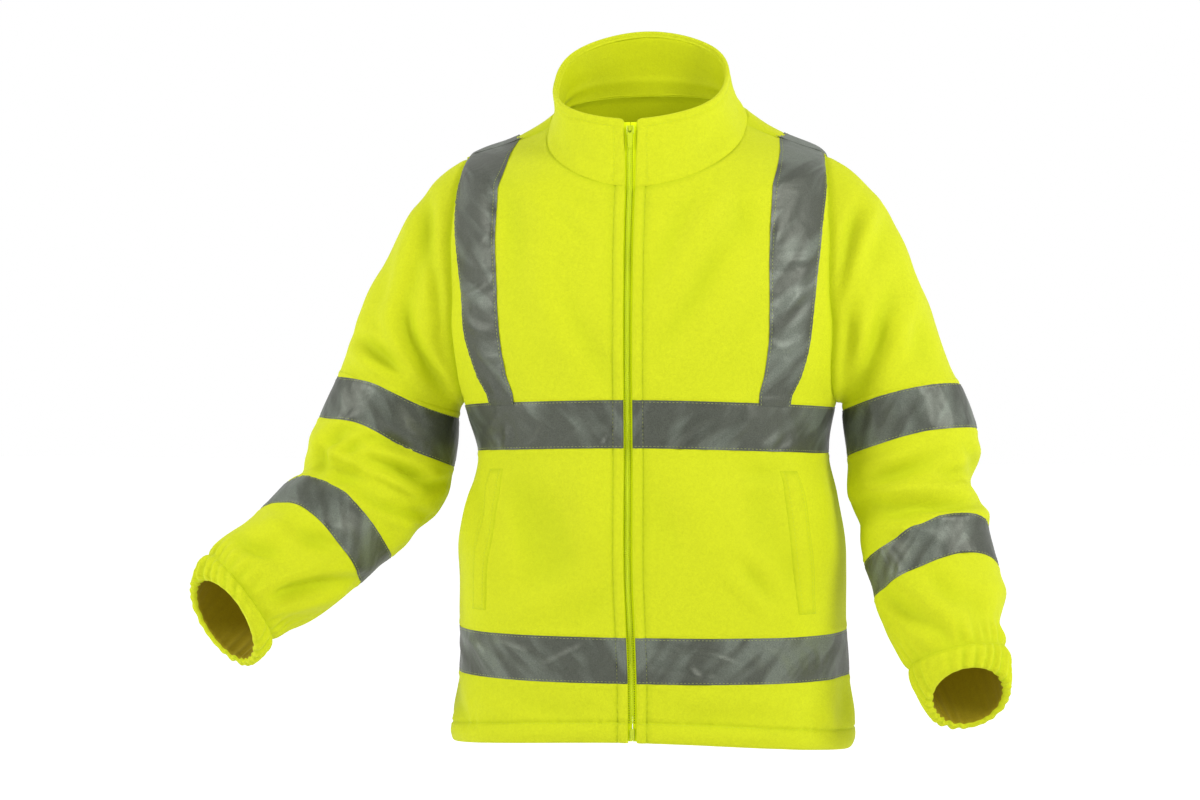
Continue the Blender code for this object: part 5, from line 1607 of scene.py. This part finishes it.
def buildZipTape(side):
    node = "zip_tape_" + words[side]
    surface = zipStation(np.concatenate((np.linspace(0, 1, 150), np.linspace(1.02, 2, 24))))
    height, middle, reach = zipParts["rib"]
    columns = []
    for away in zipParts["columns"]:
        point, out, depth = surface(side * away)
        columns.append(point + out * (depth + height * bell(away - middle, reach))[:, None])
    face = np.stack(columns, axis=1)
    clothPiece(node + "_woven", face, [zipCloth], zipParts["tapeThick"], node, "zip_tape")


def buildCoil():
    # Two helices of nylon wire, sewn to the tapes, whose turns interlock.
    foot, rise = zipParts["collar"]
    wire, coilOut, perTurn = zipParts["wire"], zipParts["coilOut"], zipParts["perTurn"]
    surface = zipStation(np.linspace(0.03, 1 + (zipParts["coilTop"] - foot) / rise, 1200))
    point, out, depth = surface(zipParts["shift"])
    across = surface(zipParts["shift"] + 1.0)[0] - point
    up = unit(np.gradient(point, axis=0))
    across = unit(across - up * np.sum(across * up, axis=-1, keepdims=True))
    out = unit(np.cross(across, up))
    out = out * np.sign(-out[..., 1:2])
    base = point + out * (depth + zipParts["coilGap"] + coilOut + wire)[:, None]
    run = chord(base[None], 1)[0]
    count = int(run[-1] / zipParts["pitch"] * perTurn)
    at = np.arange(count) / count * run[-1]
    centre, across, out, up = (readAlong(at, run, line) for line in (base, across, out, up))
    middle, wide = zipParts["coilAcross"]
    ring = np.arange(zipParts["sides"]) * 2 * math.pi / zipParts["sides"]
    shaped = bmesh.new()
    for hand, lag in ((1, 0), (-1, math.pi)):
        phase = np.arange(count) / perTurn * 2 * math.pi + lag
        path = centre + across * (hand * (middle + wide * np.cos(phase)))[:, None]
        path = path + out * (coilOut * np.sin(phase))[:, None]
        way = unit(np.gradient(path, axis=0))
        sideways = unit(np.cross(way, up))
        over = np.cross(sideways, way)
        tube = path[:, None] + wire * (sideways[:, None] * np.cos(ring)[:, None]
                                       + over[:, None] * np.sin(ring)[:, None])
        spread(shaped, tube, True)
    bmesh.ops.holes_fill(shaped, edges=[e for e in shaped.edges if e.is_boundary], sides=0)
    bmesh.ops.recalc_face_normals(shaped, faces=shaped.faces[:])
    newPiece("zip_coil", shaped, [coilPlastic], "zip_chain", "zip_plastic")
    # The rows of stitches that hold the coil, in the shade of its turns; their thread's dark colour
    # is painted shade.
    for away in (-zipParts["sewn"], zipParts["sewn"]):
        point, out, depth = surface(zipParts["shift"] + away)
        threads.append(("coil", point + out * (depth + zipParts["sewnOut"])[:, None], out))


for side in (wearersRight, wearersLeft):
    buildZipTape(side)
buildCoil()
print("zip ready")


# Stitches: small closed staples along every line that was noted above.
stitch = {
    # places along one stitch, with its height over the cloth and its thickness there
    "spots": np.array((0.0, 0.2, 0.8, 1.0)), "high": np.array((-0.35, 0.128, 0.128, -0.35)),
    "taper": np.array((0.35, 1.0, 1.0, 0.35)),
}
# Piece, length, gap, thickness and yarn of each kind.
stitchKinds = {
    "hem": ("threads_hem", 2.8, 1.2, 0.26, thread),
    "edge": ("threads_edge", 2.8, 1.2, 0.26, thread),
    "tape": ("threads_tape", 2.8, 1.2, 0.26, tapeThread),
    "sleeve": ("threads_sleeves", 2.8, 1.2, 0.26, tapeThread),
    "coil": ("threads_coil", 1.3, 1.2, 0.442, coilThreadPaintedShade),
}


def buildThreads(kind):
    name, length, gap, thick, yarn = stitchKinds[kind]
    ring = np.arange(4) * math.pi / 2 + math.pi / 4
    shaped = bmesh.new()
    for noted, path, out in threads:
        if noted != kind:
            continue
        run = chord(path[None], 1)[0]
        count = max(1, int(run[-1] / (length + gap)))
        starts = (np.arange(count) + 0.1) * run[-1] / count
        spots = starts[:, None] + stitch["spots"] * length
        normals = unit(readAlong(spots, run, out))
        middles = readAlong(spots, run, path) + normals * stitch["high"][:, None]
        way = unit(np.gradient(middles, axis=1))
        sideways = unit(np.cross(way, normals))
        wide = thick * stitch["taper"][:, None, None]
        tubes = middles[:, :, None] + wide * (sideways[:, :, None] * np.cos(ring)[:, None]
                                              + normals[:, :, None] * np.sin(ring)[:, None])
        for tube in (tubes - heldAt) * mm:
            rows = [[shaped.verts.new(spot) for spot in row] for row in tube]
            for a, b in zip(rows[:-1], rows[1:]):
                for k in range(4):
                    shaped.faces.new((a[k], a[k - 3], b[k - 3], b[k]))
            shaped.faces.new(rows[0][::-1])
            shaped.faces.new(rows[-1])
    bmesh.ops.recalc_face_normals(shaped, faces=shaped.faces[:])
    newPiece(name, shaped, [yarn])


for kind in stitchKinds:
    buildThreads(kind)
print("stitches ready")


# The hard zip parts keep their solids and take the paint.
for node in ("zip_slider", "zip_pull", "zip_box"):
    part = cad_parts[node]
    part = bpy.data.objects[part] if isinstance(part, str) else part
    for holder in part.material_slots:
        holder.material = paint


# Floor, light and camera, in metres from the frame's origin.
studio = {
    # the paper's half width, its level, and how it brightens away from the garment
    "floor": 14.0, "floorLevel": -1.15, "glowFrom": 1.4, "glowTo": 3.2, "glow": 0.6,
    "world": 0.95, "room": 0.27,
    # place, aim, width and height, power and colour of each lamp
    "lamps": {
        "leftLight": ((-2.3, -1.3, 0.9), (0, 0, -0.25), (0.9, 1.6), 47.0, "FFFEFB"),
        "rightLight": ((2.2, -1.4, 1.3), (0, 0, -0.2), (0.9, 1.6), 65.0, "FFFEFB"),
        "topLight": ((0.5, -1.7, 2.3), (0, 0, -0.2), (1.2, 0.9), 3.0, "FFFFFF"),
    },
}
camera = {
    "turn": 8.0, "tilt": 2.0, "far": 3.0, "aim": (-0.055, -0.013, -0.268),
    "lens": 82.5, "sensor": 36.0,
}


def newLamp(name, at, aim, size, power, colour):
    lamp = bpy.data.lights.new(name, "AREA")
    lamp.shape = "RECTANGLE"
    lamp.size, lamp.size_y = size
    lamp.energy = power
    lamp.color = linear(colour)[:3]
    holder = bpy.data.objects.new(name, lamp)
    holder.location = at
    holder.rotation_euler = (Vector(aim) - Vector(at)).to_track_quat("-Z", "Y").to_euler()
    scene.collection.objects.link(holder)


def buildFloor():
    shaped = bmesh.new()
    bmesh.ops.create_grid(shaped, x_segments=2, y_segments=2, size=studio["floor"])
    bmesh.ops.translate(shaped, verts=shaped.verts[:], vec=(0, 0, studio["floorLevel"]))
    mesh = bpy.data.meshes.new("floor")
    shaped.to_mesh(mesh)
    shaped.free()
    paper, tree, shader = newMaterial("paleStudioFloor", {
        "Roughness": 1.0, "Specular IOR Level": 0.0, "Emission Color": (1, 1, 1, 1)})
    spot = addNode(tree, "ShaderNodeTexCoord")
    grain = addNode(tree, "ShaderNodeTexNoise", {"Scale": 3.0}, {"Vector": spot.outputs["Object"]})
    tone = addNode(tree, "ShaderNodeMix",
                   {"data_type": "RGBA", "A": linear("F4F4F4"), "B": linear("FAFAFA")},
                   {"Factor": grain.outputs["Fac"]})
    # The paper behind is lit white; it is dimmer under the garment.
    away = addNode(tree, "ShaderNodeVectorMath", {"operation": "LENGTH"}, {0: spot.outputs["Object"]})
    glow = addNode(tree, "ShaderNodeMapRange",
                   {"From Min": studio["glowFrom"], "From Max": studio["glowTo"],
                    "To Min": 0.0, "To Max": studio["glow"]},
                   {"Value": away.outputs["Value"]})
    tree.links.new(tone.outputs["Result"], shader.inputs["Base Color"])
    tree.links.new(glow.outputs["Result"], shader.inputs["Emission Strength"])
    mesh.materials.append(paper)
    floor = bpy.data.objects.new("floor", mesh)
    scene.collection.objects.link(floor)


def buildWorld():
    # Bright paper behind the garment, a dimmer room on the side of the lamps.
    world = bpy.data.worlds.new("studioWorld")
    world.use_nodes = True
    tree = world.node_tree
    way = addNode(tree, "ShaderNodeTexCoord")
    parts = addNode(tree, "ShaderNodeSeparateXYZ", None, {"Vector": way.outputs["Generated"]})
    level = addNode(tree, "ShaderNodeMapRange",
                    {"From Min": -0.3, "From Max": 0.75,
                     "To Min": studio["room"], "To Max": studio["world"]},
                    {"Value": parts.outputs["Y"]})
    # The paper itself is white from every side; only its light is dimmer.
    ray = addNode(tree, "ShaderNodeLightPath")
    seen = addNode(tree, "ShaderNodeMix", {"data_type": "FLOAT", "B": 1.0},
                   {"Factor": ray.outputs["Is Camera Ray"], "A": level.outputs["Result"]})
    tree.links.new(seen.outputs["Result"], tree.nodes["Background"].inputs["Strength"])
    tree.nodes["Background"].inputs["Color"].default_value = (1, 1, 1, 1)
    scene.world = world


def buildCamera():
    turn, tilt = math.radians(camera["turn"]), math.radians(camera["tilt"])
    back = Vector((math.sin(turn) * math.cos(tilt), -math.cos(turn) * math.cos(tilt),
                   math.sin(tilt)))
    lens = bpy.data.cameras.new("studioCamera")
    lens.lens = camera["lens"]
    lens.sensor_width = camera["sensor"]
    holder = bpy.data.objects.new("studioCamera", lens)
    holder.location = Vector(camera["aim"]) + back * camera["far"]
    holder.rotation_euler = (-back).to_track_quat("-Z", "Y").to_euler()
    scene.collection.objects.link(holder)
    scene.camera = holder


buildFloor()
for name, values in studio["lamps"].items():
    newLamp(name, *values)
buildWorld()
buildCamera()
scene.view_settings.view_transform = "Standard"
print("studio ready")
